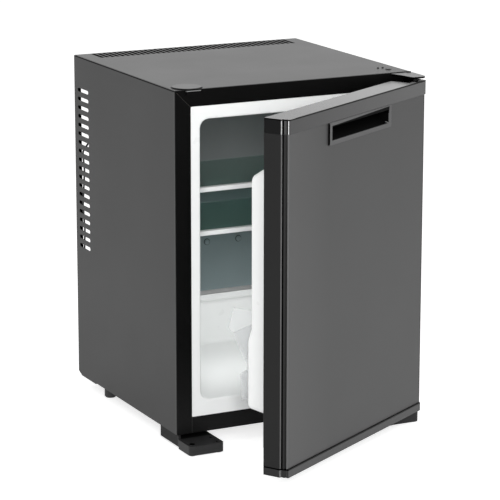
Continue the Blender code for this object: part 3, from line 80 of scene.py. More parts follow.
# %% [markdown]
# A material is a small program. It could be wired by hand in the node editor, but a mask
# is easier to read as arithmetic, such as 1 - mask * 0.3. So a class wraps each socket,
# and every operator on it adds one Math node.

# %% A socket that does arithmetic
class Signal:
    """One output socket that can be added, subtracted, multiplied or raised to a power."""

    def __init__(self, shader, socket):
        self.shader = shader
        self.socket = socket

    def _math(self, operation, first, second):
        return self.shader.node("ShaderNodeMath", {"operation": operation}, {0: first, 1: second})

    def __add__(self, other):
        return self._math("ADD", self, other)

    def __radd__(self, other):
        return self._math("ADD", other, self)

    def __sub__(self, other):
        return self._math("SUBTRACT", self, other)

    def __rsub__(self, other):
        return self._math("SUBTRACT", other, self)

    def __mul__(self, other):
        return self._math("MULTIPLY", self, other)

    def __rmul__(self, other):
        return self._math("MULTIPLY", other, self)

    def __pow__(self, other):
        return self._math("POWER", self, other)

    def above(self, edge):
        return self._math("GREATER_THAN", self, edge)

    def below(self, edge):
        return self._math("LESS_THAN", self, edge)

    def at_least(self, other):
        return self._math("MAXIMUM", self, other)

    def size(self):
        """The number without its sign."""
        return self._math("ABSOLUTE", self, 0.0)

    def remainder(self, step):
        return self._math("MODULO", self, step)

    def ramp(self, start, end):
        """0 at start, 1 at end, and even between them."""
        return self.shader.node("ShaderNodeMapRange", {},
                                {"Value": self, "From Min": start, "From Max": end})


# %% [markdown]
# Every node comes from one method, which takes the node's type, its settings and the
# values or links of its sockets. The floor, the backdrop and the materials all use it.

# %% Nodes by one method
NO_LIGHT = (0.0, 0.0, 0.0)


def opaque(colour):
    """A colour of three numbers gets its alpha. A signal stays as it is."""
    return colour if isinstance(colour, Signal) else (*colour, 1.0)


class Shader:
    """A node tree, its main shader and the ways to feed it."""

    def __init__(self, tree, main):
        self.tree = tree
        self.main = tree.nodes[main]

    def feed(self, socket, value, target=None):
        entry = (target or self.main).inputs[socket]
        if isinstance(value, Signal):
            self.tree.links.new(value.socket, entry)
        else:
            entry.default_value = value

    def node(self, kind, settings=None, values=None, output=0):
        """Add a node: its settings first, then the values or links of its sockets."""
        made = self.tree.nodes.new(kind)
        for key, value in (settings or {}).items():
            setattr(made, key, value)
        for key, value in (values or {}).items():
            self.feed(key, value, made)
        return Signal(self, made.outputs[output])

    def blend(self, share, low, high):
        """Two colours mixed by a mask."""
        return self.node("ShaderNodeMix", {"data_type": "RGBA"},
                         {0: share, 6: opaque(low), 7: opaque(high)}, output=2)

    def place(self):
        return self.node("ShaderNodeTexCoord", output="Object")

    def noise(self, scale, detail=2.0, where=None):
        return self.node("ShaderNodeTexNoise", {},
                         {"Vector": where or self.place(), "Scale": scale, "Detail": detail})

    def stretched(self, scale):
        """Object coordinates stretched along an axis, for brushing or streaks."""
        return self.node("ShaderNodeMapping", {}, {"Vector": self.place(), "Scale": scale})

    def split(self, vector):
        """The three numbers of a vector, each as a signal."""
        made = self.node("ShaderNodeSeparateXYZ", {}, {"Vector": vector}).socket.node
        return [Signal(self, socket) for socket in made.outputs]

    def along(self, start, direction):
        """How far a surface point lies from start in a direction, in metres."""
        offset = self.node("ShaderNodeVectorMath", {"operation": "SUBTRACT"},
                           {0: self.place(), 1: tuple(start)})
        return self.node("ShaderNodeVectorMath", {"operation": "DOT_PRODUCT"},
                         {0: offset, 1: tuple(direction)}, output="Value")

    def from_axis(self, centre):
        """How far a surface point lies from an upright axis through centre."""
        x = self.along(centre, ACROSS)
        y = self.along(centre, INWARD)
        return (x * x + y * y) ** 0.5


# %% [markdown]
# A finish starts as one tone and one gloss. Marks are laid over it one after another, each
# where its mask is 1. A dark gap painted on a surface would still mirror the room, so black
# is made as metal: a black metal mirrors nothing, except at a grazing angle.

# %% A finish that takes marks
BLACK_ROUGHER = 0.20


class Look(Shader):
    """A material with a Principled shader, whose tone and gloss can be painted over."""

    def __init__(self, name, colour, roughness, metallic=0.0):
        self.material = bpy.data.materials.new(name)
        self.material.use_nodes = True
        super().__init__(self.material.node_tree, "Principled BSDF")
        self.metal = None
        self.feed("Base Color", opaque(colour))
        self.feed("Roughness", roughness)
        self.feed("Metallic", metallic)

    def ground(self, tone, rough):
        """The tone and the gloss that marks are laid over."""
        self.tone = tone
        self.rough = rough
        self.feed("Base Color", tone)
        self.feed("Roughness", rough)

    def repaint(self, mask, colour, rough_shift=0.0):
        """Another colour, and if wanted another gloss, where the mask is 1."""
        self.tone = self.blend(mask, self.tone, colour)
        self.feed("Base Color", self.tone)
        if rough_shift:
            self.rough = self.rough + mask * rough_shift
            self.feed("Roughness", self.rough)

    def polish(self, mask, share=1.0):
        """Bare metal where the mask is 1."""
        part = mask * share
        self.metal = part if self.metal is None else self.metal.at_least(part)
        self.feed("Metallic", self.metal)

    def blacken(self, mask):
        self.repaint(mask, NO_LIGHT, BLACK_ROUGHER)
        self.polish(mask)

    def bump(self, height, distance):
        self.feed("Normal", self.node("ShaderNodeBump", {}, {"Height": height, "Distance": distance}))


# %% [markdown]
# The cabinet and the door's front are powder-coated steel: a satin graphite grey with a
# very fine pebble in the surface. Roughness wanders a little, as it does on real coating.
# The same recipe in other tones serves the black frame, the enamel and the screws.

# %% Coated steel
TONE_SPREAD = 0.06
CLOUD_GLOSS = 0.06
GRAIN_GLOSS = 0.05


def tinted(colour, factor):
    return tuple(channel * factor for channel in colour)


def coated(name, colour, roughness, gloss=0.5, pebble=0.00002):
    look = Look(name, colour, roughness)
    look.feed("Specular IOR Level", gloss)
    cloud = look.noise(9.0, 3.0)
    grain = look.noise(1500.0, 1.0)
    tone = look.blend(cloud, tinted(colour, 1 - TONE_SPREAD), tinted(colour, 1 + TONE_SPREAD))
    smoothest = roughness - (CLOUD_GLOSS + GRAIN_GLOSS) / 2
    look.ground(tone, cloud * CLOUD_GLOSS + grain * GRAIN_GLOSS + smoothest)
    look.bump(grain, pebble)
    return look


wrap_coat = coated("graphite_coat", (0.022, 0.022, 0.0222), 0.50, gloss=0.34)
door_coat = coated("door_coat", (0.036, 0.036, 0.0364), 0.40, gloss=0.36, pebble=0.000012)
edge_coat = coated("door_edge_coat", (0.006, 0.006, 0.006), 0.40, gloss=0.22, pebble=0.00001)
frame_black = coated("frame_black", (0.002, 0.002, 0.002), 0.38, gloss=0.08, pebble=0.00001)
black_enamel = coated("black_enamel", (0.008, 0.008, 0.008), 0.45, gloss=0.3)
shield_coat = coated("shield_coat", (0.195, 0.245, 0.255), 0.42)
bracket_coat = coated("bracket_coat", (0.095, 0.095, 0.096), 0.30)
screw_coat = coated("screw_coat", (0.030, 0.030, 0.0302), 0.36, gloss=0.36)
print("coats:", len(bpy.data.materials))

# %% [markdown]
# Moulded plastics are smoother than coating. Their base is almost even, with a faint flow
# pattern that moves the roughness, and a grain so fine that it only softens the gloss.

# %% Moulded plastics
FLOW_GLOSS = 0.03


def moulded(name, colour, roughness, grain_size=900.0, grain_height=0.000008, gloss=0.5):
    look = Look(name, colour, roughness)
    look.feed("Specular IOR Level", gloss)
    flow = look.noise(35.0, 2.0)
    tone = look.blend(flow, tinted(colour, 0.99), tinted(colour, 1.005))
    look.ground(tone, flow * FLOW_GLOSS + (roughness - FLOW_GLOSS / 2))
    look.bump(look.noise(grain_size, 1.0), grain_height)
    return look


cap_plastic = moulded("cap_plastic", (0.045, 0.045, 0.0455), 0.24, gloss=0.23)
handle_plastic = moulded("handle_plastic", (0.003, 0.003, 0.003), 0.34, gloss=0.03)
plug_plastic = moulded("plug_plastic", (0.040, 0.040, 0.0404), 0.32, gloss=0.4)
liner_plastic = moulded("liner_plastic", (0.92, 0.93, 0.925), 0.28, grain_height=0.000004)
trim_plastic = moulded("trim_plastic", (0.95, 0.96, 0.96), 0.30)
foot_plastic = moulded("foot_plastic", (0.018, 0.018, 0.0185), 0.50, grain_size=700.0,
                       grain_height=0.00003, gloss=0.22)
bush_plastic = moulded("bush_plastic", (0.72, 0.72, 0.70), 0.40)
bush_black = moulded("black_bush", (0.006, 0.006, 0.006), 0.45, gloss=0.2)
rubber = moulded("seal_rubber", (0.020, 0.020, 0.021), 0.62, grain_size=1100.0,
                 grain_height=0.00002)
print("coats and plastics:", len(bpy.data.materials))

# %% [markdown]
# The wrap is one folded sheet, but its faces don't look alike. The top lies open to the
# light and is wiped smooth, and it is painted lighter as painted light. The sides are
# painted darker towards the floor as painted shade, a dark line of painted shade runs under
# the fold, the front hem is painted lighter as a painted highlight, and inside the bay the
# sheet is painted black as painted shade. Each mask is a distance that the shader measures
# from the sheet's own outside.

# %% Top, sides and inside of the wrap
WRAP_HALF = (wrap_high.x - wrap_low.x) / 2
WRAP_CORNER = 0.002
SHEET_THICK = 0.001
TOP_SKIN = 0.0012
FOLD_LOW = wrap_high.z - 0.0023
FOLD_HIGH = wrap_high.z - 0.0006
HEM = wrap_low.y + 0.0016
DARKER_BELOW = DATUM.z + 0.15
SIDE_LOW_SHADE = (0.008, 0.008, 0.0081)
TOP_LIGHT_TONE = (0.028, 0.028, 0.0282)
HEM_HIGHLIGHT_TONE = (0.060, 0.060, 0.0605)

across, deep, tall = wrap_coat.split(wrap_coat.place())
off_middle = (across - DATUM.x).size()
on_top = tall.above(wrap_high.z - TOP_SKIN)
past_side = (off_middle - (WRAP_HALF - WRAP_CORNER)).at_least(0.0)
past_top = (tall - (wrap_high.z - WRAP_CORNER)).at_least(0.0)
reach = (past_side * past_side + past_top * past_top) ** 0.5
inside = reach.below(WRAP_CORNER - SHEET_THICK / 2) * deep.below(wrap_high.y - SHEET_THICK / 2)
# Painted shade low on the sides, under the fold and inside; painted light on the top; a painted
# highlight on the hem.
wrap_coat.repaint(tall.ramp(DARKER_BELOW, DATUM.z), SIDE_LOW_SHADE)
wrap_coat.repaint(on_top, TOP_LIGHT_TONE, -0.14)
wrap_coat.repaint(deep.below(HEM) * tall.below(FOLD_LOW), HEM_HIGHLIGHT_TONE)
wrap_coat.blacken(tall.above(FOLD_LOW) * tall.below(FOLD_HIGH))
wrap_coat.blacken(inside)
print("wrap half width", round(WRAP_HALF, 4))

# %% [markdown]
# The slots in the top are cut through the sheet at an even pitch. From a step away they
# look wider than they are, so each gets a band of painted shade that reaches a millimetre
# past it on both sides. A remainder turns the distance across the top into the place
# within one pitch, so one mask paints all the bands.

# %% Slots in the top
SLOT_COUNT = 39
SLOT_PITCH = 0.009
SLOT_SHARE = 0.39
SLOTS_HALF = SLOT_COUNT * SLOT_PITCH / 2
SLOTS_BACK = wrap_high.y - 0.0055
SLOTS_FRONT = SLOTS_BACK - 0.044

left_of_slots = DATUM.x - (SLOT_COUNT + 1) * SLOT_PITCH
pitches = (across - left_of_slots) * (1 / SLOT_PITCH) + 0.5
off_centre = (pitches.remainder(1.0) - 0.5).size()
in_depth = deep.above(SLOTS_FRONT) * deep.below(SLOTS_BACK)
in_slots = off_middle.below(SLOTS_HALF) * in_depth * tall.above(FOLD_HIGH)
wrap_coat.blacken(off_centre.below(SLOT_SHARE) * in_slots)
print("slots in the top", SLOT_COUNT, "over", round(2 * SLOTS_HALF, 3), "m")

# %% [markdown]
# The black frame is made of four mouldings, mitred above and butted below. Their joints
# show as hairlines of painted highlight where the edges catch a little light, and low down
# the black is painted a little greyer, as painted light from the pale floor.

# %% Hairlines of the frame
FRAME_INNER = 0.1755
FRAME_OUTER = 0.2010
FRAME_HIGH = 0.5290
JOINT_HALF = 0.0004
MITRE_LOW = 0.45
MITRE_HIGH = FRAME_HIGH - 0.003
BUTT_HIGH = 0.026
GREYER_FROM = 0.14
GREYEST_AT = 0.01
FRAME_FLOOR_LIGHT = (0.0065, 0.0065, 0.0066)
MITRE_TONE = (0.030, 0.030, 0.030)
BUTT_TONE = (0.055, 0.055, 0.055)

frame_x = frame_black.along(DATUM, ACROSS).size()
frame_z = frame_black.along(DATUM, UPWARD)
off_mitre = (frame_x - frame_z + (FRAME_HIGH - FRAME_OUTER)).size()
mitre = off_mitre.below(JOINT_HALF) * frame_z.above(MITRE_LOW) * frame_z.below(MITRE_HIGH)
butt = (frame_x - FRAME_INNER).size().below(JOINT_HALF) * frame_z.below(BUTT_HIGH)
# Painted light from the floor low down, and painted highlights on the joints.
frame_black.repaint(frame_z.ramp(GREYER_FROM, GREYEST_AT), FRAME_FLOOR_LIGHT)
frame_black.repaint(mitre, MITRE_TONE)
frame_black.repaint(butt, BUTT_TONE)
print("hairlines are", 2 * JOINT_HALF, "m wide")

# %% [markdown]
# The door stands ajar, so its materials need the door's own directions. Here a runs along
# the door's width from its free edge, and b runs into its thickness from its front.

# %% The door's own directions
DOOR_ANGLE = math.radians(30.78)
HINGE = cabinet(0.190, -0.031, 0.0)
HINGE_TO_FREE_EDGE = 0.393
HINGE_TO_FRONT = 0.014
ALONG_DOOR = Vector((math.cos(DOOR_ANGLE), math.sin(DOOR_ANGLE), 0.0))
INTO_DOOR = Vector((-math.sin(DOOR_ANGLE), math.cos(DOOR_ANGLE), 0.0))
DOOR_CORNER = HINGE - HINGE_TO_FREE_EDGE * ALONG_DOOR - HINGE_TO_FRONT * INTO_DOOR


def door(a, b, z):
    """A point of the door, with z from the cabinet's underside."""
    return DOOR_CORNER + a * ALONG_DOOR + b * INTO_DOOR + Vector((0.0, 0.0, z))


def door_reach(look):
    """Signals for a, b and z of the point that is shaded."""
    return (look.along(DOOR_CORNER, ALONG_DOOR), look.along(DOOR_CORNER, INTO_DOOR),
            look.along(DATUM, UPWARD))


print("door corner", [round(v, 4) for v in DOOR_CORNER])

# %% [markdown]
# The door's front is painted a little lighter towards its free edge, a painted highlight.
# The cold panel behind the shelves shows a blue-green coat that greys towards its top.

# %% Door panel and cold panel
LIGHTER_FROM = 0.12
DOOR_TONE = (0.036, 0.036, 0.0364)
DOOR_EDGE_HIGHLIGHT = (0.054, 0.054, 0.0544)
COLD_GREY_FROM = 0.30
COLD_GREY_AT = 0.37
COLD_GREY = (0.225, 0.230, 0.236)

door_coat.tone = DOOR_TONE
# The free edge is painted lighter, a painted highlight.
door_coat.repaint(door_coat.along(DOOR_CORNER, ALONG_DOOR).ramp(LIGHTER_FROM, 0.0), DOOR_EDGE_HIGHLIGHT)
shield_height = shield_coat.along(DATUM, UPWARD)
shield_coat.repaint(shield_height.ramp(COLD_GREY_FROM, COLD_GREY_AT), COLD_GREY)
print("door front lightens over", LIGHTER_FROM, "m")

# %% [markdown]
# The door's front corner is cut at a slant with two fine grooves in it. The ridges beside
# them carry painted highlights, laid partly as metal so that they mirror the light floor,
# and the grooves are painted black as painted shade. Modelling lines this fine would cost
# many faces, so the shader lays them by their share of the slant's width. The side behind
# the slant is painted nearly black as painted shade.

# %% Slanted corner of the door
SLANT_WIDTH = 0.005
SLANT_DEPTH = 0.012
SLANT_REACH = 0.0080
SIDE_SKIN = 0.00025
SLANT_SQUARED = SLANT_WIDTH ** 2 + SLANT_DEPTH ** 2


def slant_highlights_and_shade(look, lines, side_shade_tone, side_shade_metal, lowest):
    """Lay the slant's painted highlights and painted shade as lines, each given by its start, end,
    tone and share of metal, and paint shade on the side behind the slant.
    """
    a, b, z = door_reach(look)
    share = a * (SLANT_WIDTH / SLANT_SQUARED) + (SLANT_DEPTH - b) * (SLANT_DEPTH / SLANT_SQUARED)
    front = a.below(SLANT_REACH) * z.above(lowest)
    side = a.below(SIDE_SKIN) * b.above(SLANT_DEPTH) * z.above(lowest)
    look.repaint(side, side_shade_tone, 0.15)
    look.polish(side, side_shade_metal)
    for start, end, tone, metal in lines:
        line = share.above(start) * share.below(end) * front
        look.repaint(line, tone)
        look.polish(line, metal)


BETWEEN_CAPS = 0.4
BELOW_DOOR = -0.1
# Pale lines are painted highlights, black ones painted shade in the grooves.
CAP_HIGHLIGHT_SHADE_LINES = [(0.0, 0.09, (0.52, 0.52, 0.52), 1.0), (0.10, 0.31, NO_LIGHT, 1.0),
             (0.61, 0.76, NO_LIGHT, 1.0), (0.76, 0.87, (0.62, 0.62, 0.62), 1.0)]
EDGE_HIGHLIGHT_SHADE_LINES = [(0.0, 0.10, (0.135, 0.135, 0.135), 1.0), (0.10, 0.31, NO_LIGHT, 1.0),
              (0.61, 0.72, NO_LIGHT, 0.6), (0.72, 1.60, (0.095, 0.095, 0.0955), 0.12)]
slant_highlights_and_shade(cap_plastic, CAP_HIGHLIGHT_SHADE_LINES, (0.001, 0.001, 0.0012), 0.45, BETWEEN_CAPS)
slant_highlights_and_shade(edge_coat, EDGE_HIGHLIGHT_SHADE_LINES, (0.008, 0.008, 0.008), 0.15, BELOW_DOOR)
print("slant lines:", len(CAP_HIGHLIGHT_SHADE_LINES), "on the cap and", len(EDGE_HIGHLIGHT_SHADE_LINES), "on the edge")

# %% [markdown]
# The caps are mouldings of their own. The upper one's top face is moulded without texture,
# so it is smoother, and it is painted lighter as painted light, more so towards the hinge;
# its front face is painted lighter towards the hinge as well. The lower one's end face is
# painted dark as painted shade, with one painted highlight down it.

# %% Faces of the door's caps
DOOR_HIGH = 0.522
FACE_SKIN = 0.0006
TOP_FACE = DOOR_HIGH - 0.0001
LOW_END = 0.0049
LOW_CAP_HIGHLIGHT = (0.0112, 0.0128)

cap_a, cap_b, cap_z = door_reach(cap_plastic)
front_face = cap_b.below(FACE_SKIN) * cap_a.above(SLANT_WIDTH) * cap_z.above(BETWEEN_CAPS)
# Painted light on the front and top faces, painted shade and a painted highlight on the lower cap's
# end face.
cap_plastic.repaint(front_face * cap_a.ramp(0.02, 0.36), (0.088, 0.088, 0.0885))
cap_top_light = cap_plastic.blend(cap_a.ramp(0.05, 0.32), (0.105, 0.105, 0.106), (0.250, 0.250, 0.251))
cap_plastic.repaint(cap_z.above(TOP_FACE), cap_top_light, -0.06)
low_side = cap_a.below(LOW_END) * cap_z.below(BETWEEN_CAPS)
cap_plastic.repaint(low_side, (0.010, 0.010, 0.0101), 0.10)
cap_plastic.repaint(low_side * cap_b.above(LOW_CAP_HIGHLIGHT[0]) * cap_b.below(LOW_CAP_HIGHLIGHT[1]),
                    (0.140, 0.140, 0.140))
print("door height", DOOR_HIGH)

# %% [markdown]
# Where the lower cap meets the panel the joint is a fine dark line. The upper cap's top
# edge and a strip along its top's front edge are painted as fine dark lines. The pocket
# round the hinge pin and the top face beyond it are dark as well, since hardly any light
# falls there.

# %% Dark lines of the caps
LOW_CAP_HIGH = 0.008
PIN_POCKET = 0.3635
POCKET_FRONT = 0.0080
POCKET_LOW = 0.5
POCKET_RIM = PIN_POCKET + 0.012
TOP_STRIP_DEPTH = 0.0015
TOP_STRIP_START = 0.02

in_pocket = cap_a.above(PIN_POCKET) * cap_b.above(POCKET_FRONT) * cap_z.above(POCKET_LOW)
top_strip = cap_b.below(TOP_STRIP_DEPTH) * cap_a.above(TOP_STRIP_START)
cap_plastic.blacken(in_pocket)
cap_plastic.blacken(cap_a.above(POCKET_RIM) * cap_z.above(TOP_FACE))
cap_plastic.blacken(top_strip * cap_z.above(DOOR_HIGH - 0.0004))
cap_plastic.blacken(cap_z.above(DOOR_HIGH - 0.0019) * cap_z.below(DOOR_HIGH - 0.0002))
cap_plastic.blacken(cap_z.above(LOW_CAP_HIGH - 0.0019) * cap_z.below(LOW_CAP_HIGH + 0.0010))
print("pin pocket from", PIN_POCKET, "m along the door")

# %% [markdown]
# The handle is a black scoop with a thin graphite bezel. It is one moulding, so the bezel
# is only the part of it that stands in front of the door's face, and its left end is
# painted black as painted shade. Inside the scoop a band is painted flat black as the
# painted shadow of the bezel's upper side, below a line that climbs a little towards the
# hinge.

# %% Handle
HANDLE_LEFT = 0.113
HANDLE_LENGTH = 0.180
HANDLE_RIGHT = HANDLE_LEFT + HANDLE_LENGTH
HANDLE_TOP = 0.5002
HANDLE_BAND = 0.0065
BEZEL_SKIN = 0.0004
END_SKIN = 0.0003
BEZEL_TONE = (0.130, 0.130, 0.131)
SHADE_HIGH = HANDLE_TOP - 0.0052
SHADE_LOW = HANDLE_TOP - 0.012
SHADE_CLIMB = 0.0040

handle_a, handle_b, handle_z = door_reach(handle_plastic)
handle_plastic.repaint(handle_b.below(BEZEL_SKIN), BEZEL_TONE, -0.05)
climb = (handle_a - HANDLE_LEFT) * (SHADE_CLIMB / HANDLE_LENGTH)
within = handle_a.above(HANDLE_LEFT + HANDLE_BAND) * handle_a.below(HANDLE_RIGHT - HANDLE_BAND)
shaded = (handle_z - climb).below(SHADE_HIGH) * handle_z.above(SHADE_LOW)
handle_plastic.repaint(within * shaded, NO_LIGHT, BLACK_ROUGHER)
handle_plastic.blacken(handle_a.below(HANDLE_LEFT + END_SKIN))
print("handle length", HANDLE_LENGTH)

# %% [markdown]
# The unused hinge seat is closed by a round cover with a tab that folds over the frame.
# The cover's rim and the ring round it are painted black as shade, the tab's front carries
# a painted highlight along its upper strip, and below that strip it is painted dark as
# painted shade, with a black line just under the strip.

# %% Cover of the unused hinge seat
CABINET_HIGH = 0.530
PLUG_CENTRE = cabinet(-0.172, 0.021, 0.0)
PLUG_RADIUS = 0.0225
RIM_HIGH = 0.0013
TAB_HIGH = -0.0005
TAB_STRIP_LOW = -0.0020
TAB_LINE_LOW = -0.0032

plug_height = plug_plastic.along(cabinet(0.0, 0.0, CABINET_HIGH), UPWARD)
tab_face = plug_height.below(TAB_STRIP_LOW)
plug_plastic.blacken(plug_height.above(TAB_HIGH) * plug_height.below(RIM_HIGH))
plug_plastic.repaint(plug_height.below(TAB_HIGH), (0.19, 0.19, 0.19))
plug_plastic.repaint(tab_face, (0.004, 0.004, 0.0042), 0.15)
plug_plastic.polish(tab_face, 0.85)
plug_plastic.blacken(tab_face * plug_height.above(TAB_LINE_LOW))
plug_ring = wrap_coat.from_axis(PLUG_CENTRE)
round_plug = plug_ring.above(PLUG_RADIUS - 0.0003) * plug_ring.below(PLUG_RADIUS + 0.0014)
wrap_coat.blacken(on_top * round_plug)
print("cover radius", PLUG_RADIUS)

# %% [markdown]
# The hinge bracket is a thin plate: only its top takes light, and its sides are black.
# The third screw's head shows in the wrap's top, with a dark ring painted round it.

# %% Hinge bracket and its third screw
BRACKET_TOP = 0.5287
BRACKET_SKIN = 0.0003
SCREW_CENTRE = HINGE + Vector((-0.0120, 0.0625, 0.0))
SCREW_RING = (0.0043, 0.0054)

bracket_coat.blacken(bracket_coat.along(DATUM, UPWARD).below(BRACKET_TOP - BRACKET_SKIN))
screw_ring = wrap_coat.from_axis(SCREW_CENTRE)
wrap_coat.blacken(on_top * screw_ring.above(SCREW_RING[0]) * screw_ring.below(SCREW_RING[1]))
print("third screw at", [round(v, 4) for v in SCREW_CENTRE])

# %% [markdown]
# A front foot reaches back under the cabinet, where hardly any light comes, so its rear
# part is painted dark as painted shade. Everything within the radius of its two fixing
# holes and of its hinge bore is painted black as painted shade, so that they look deep.

# %% Front feet
FIXING_RADIUS = 0.0023
BORE_RADIUS = 0.0046
FOOT_HOLES = ((0.1504, -0.0122, FIXING_RADIUS), (0.1515, -0.0343, FIXING_RADIUS),
              (0.190, -0.031, BORE_RADIUS))

foot_rear = foot_plastic.along(DATUM, INWARD).above(0.0)
foot_plastic.repaint(foot_rear, (0.003, 0.003, 0.003), 0.1)
foot_plastic.polish(foot_rear, 0.5)
for x, y, radius in FOOT_HOLES:
    for side in (-1, 1):
        foot_plastic.blacken(foot_plastic.from_axis(cabinet(side * x, y, 0.0)).below(radius))
print("foot holes", 2 * len(FOOT_HOLES))

# %% [markdown]
# Zinc-coated steel shows crystals of slightly different grey. A Voronoi pattern gives
# each crystal its own tone and its own gloss. The lower hinge pin and the screws of the
# access plate are bright steel, with fine level lines as if turned.

# %% Bare metals
zinc = Look("zinc_plate", (0.50, 0.51, 0.51), 0.42, metallic=1.0)
crystal = zinc.node("ShaderNodeTexVoronoi", {}, {"Vector": zinc.place(), "Scale": 160.0},
                    output="Color")
crystal_tone = zinc.node("ShaderNodeSeparateColor", {}, {"Color": crystal})
zinc.ground(zinc.blend(crystal_tone, (0.42, 0.43, 0.43), (0.60, 0.61, 0.61)),
            crystal_tone * 0.18 + 0.32)

steel = Look("bright_steel", (0.62, 0.62, 0.61), 0.25, metallic=1.0)
scratch = steel.noise(60.0, 2.0, steel.stretched((1.0, 1.0, 30.0)))
steel.feed("Roughness", scratch * 0.15 + 0.18)
steel.bump(scratch, 0.00001)
print("metals:", zinc.material.name, steel.material.name)

# %% [markdown]
# The insulation is rigid foam: straw-coloured, dull and full of fine cells. Near the floor
# it is painted dark and smoother as painted shade, so that no pale strip shows under the
# cabinet.

# %% Foam
FOAM_SHADE_BELOW = 0.018

foam_look = Look("rigid_foam", (0.72, 0.62, 0.38), 0.9)
cells = foam_look.noise(700.0, 3.0)
foam_look.ground(foam_look.blend(cells, (0.60, 0.50, 0.28), (0.80, 0.70, 0.46)),
                 cells * 0.1 + 0.85)
foam_look.bump(cells, 0.0002)
# Painted shade near the floor.
foam_low_shade = foam_look.along(DATUM, UPWARD).below(FOAM_SHADE_BELOW)
foam_look.repaint(foam_low_shade, (0.010, 0.010, 0.010), -0.30)
print("foam skin up to", FOAM_SHADE_BELOW, "m")

# %% [markdown]
# The shelves are float glass with a green cast, and the door rack is clear plastic. The
# glass bends the light that passes through it. The rack is only thin, so it is made
# see-through with Alpha, and Layer Weight keeps it denser where it is seen edge on. A
# faint haze varies the gloss of both.

# %% Clear materials
glass = Look("shelf_glass", (0.50, 0.74, 0.66), 0.03)
glass.feed("Roughness", glass.noise(40.0, 2.0) * 0.04 + 0.02)
glass.feed("Transmission Weight", 0.90)
glass.feed("IOR", 1.50)

clear = Look("clear_plastic", (0.86, 0.88, 0.89), 0.05)
clear.feed("Roughness", clear.noise(55.0, 2.0) * 0.06 + 0.02)
edge_on = clear.node("ShaderNodeLayerWeight", {}, {"Blend": 0.35}, output="Facing")
clear.feed("Alpha", edge_on * 0.55 + 0.14)
print("clear materials:", glass.material.name, clear.material.name)

# %% [markdown]
# Each solid part keeps its shape and takes a finish. Parts that a person would see as
# one material share one, and the names say which.

# %% Dress the parts
DRESS = {
    wrap_coat: ["outer_wrap"],
    door_coat: ["door_front_panel"],
    edge_coat: ["door_edge_left", "door_edge_right"],
    cap_plastic: ["door_cap_top", "door_cap_bottom"],
    frame_black: ["frame_left", "frame_right", "frame_top", "frame_bottom", "mains_inlet"],
    plug_plastic: ["hinge_hole_plug"],
    black_enamel: ["base_pan", "rear_tray", "absorber_vessel", "absorber_coil", "condenser_pipe",
                   "vapour_pipe", "heat_exchanger", "control_box", "bracket_screw_1",
                   "bracket_screw_2"],
    screw_coat: ["bracket_screw_3"],
    shield_coat: ["evaporator_shield", "shield_bolt_left", "shield_bolt_right"],
    bracket_coat: ["top_hinge_bracket"],
    handle_plastic: ["handle_insert"],
    liner_plastic: ["inner_liner", "door_liner", "drip_channel"],
    trim_plastic: ["shelf_trim_upper", "shelf_trim_lower"],
    foot_plastic: ["front_foot_left", "front_foot_right"],
    bush_black: ["top_hinge_bush", "top_hinge_pin"],
    bush_plastic: ["bottom_hinge_bush", "glide_left_inner", "glide_left_outer",
                   "glide_right_inner", "glide_right_outer"],
    rubber: ["door_gasket", "rear_foot_left", "rear_foot_right", "sensor_lead"],
    zinc: ["back_plate", "access_plate", "evaporator_fins", "condenser_fins", "boiler_casing",
           "unit_strap"],
    steel: ["bottom_hinge_pin", "access_screw_lower", "access_screw_upper"],
    foam_look: ["cabinet_foam", "door_foam"],
    glass: ["shelf_glass_upper", "shelf_glass_lower"],
    clear: ["bottle_rack"],
}
for look, names in DRESS.items():
    for name in names:
        materials = nodes[name].data.materials
        materials.clear()
        materials.append(look.material)
dressed = {name for names in DRESS.values() for name in names}
print("undressed:", sorted(set(nodes) - dressed))

# %% [markdown]
# Real edges are never sharp. A small bevel on the parts' hard edges catches the light
# and draws the thin bright lines that a product picture shows. It is a modifier, so the
# solid's own mesh stays as it is.

# %% Soften the edges
EDGE_WIDTH = 0.0005
HANDLE_EDGE_WIDTH = 0.0004
EDGE_SEGMENTS = 2
HARD_EDGE = math.radians(35.0)
SOFTENED = ["frame_left", "frame_right", "frame_top", "frame_bottom", "door_cap_top",
            "door_cap_bottom", "top_hinge_bracket"]


def soften(name, width):
    weld = nodes[name].modifiers.new("weld", "WELD")
    weld.merge_threshold = 0.00001
    bevel = nodes[name].modifiers.new("edge", "BEVEL")
    bevel.width = width
    bevel.segments = EDGE_SEGMENTS
    bevel.limit_method = "ANGLE"
    bevel.angle_limit = HARD_EDGE
    bevel.use_clamp_overlap = True
    bevel.harden_normals = True


for name in SOFTENED:
    soften(name, EDGE_WIDTH)
soften("handle_insert", HANDLE_EDGE_WIDTH)
print("softened parts:", len(SOFTENED) + 1)

# %% [markdown]
# Fine pieces that only a close look shows are built as meshes of their own. Each is a
# tube: rings of points joined by quads and closed at both ends. A bead is a round one
# that follows a line of points.

# %% Tubes and beads
def close_tube(bm, rings):
    """Join rings of as many points each by quads, and close both ends."""
    count = len(rings[0])
    for first, second in zip(rings, rings[1:]):
        for k in range(count):
            after = (k + 1) % count
            bm.faces.new((first[k], first[after], second[after], second[k]))
    bm.faces.new(rings[0][::-1])
    bm.faces.new(rings[-1])


def finish_piece(name, bm, look, body):
    """Turn the mesh into a piece that rides on a body and takes the look's material."""
    bmesh.ops.recalc_face_normals(bm, faces=bm.faces)
    mesh = bpy.data.meshes.new(name)
    bm.to_mesh(mesh)
    bm.free()
    mesh.materials.append(look.material)
    piece = bpy.data.objects.new(name, mesh)
    bpy.context.scene.collection.objects.link(piece)
    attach(piece, body)
    print(name, "has", len(mesh.polygons), "faces")


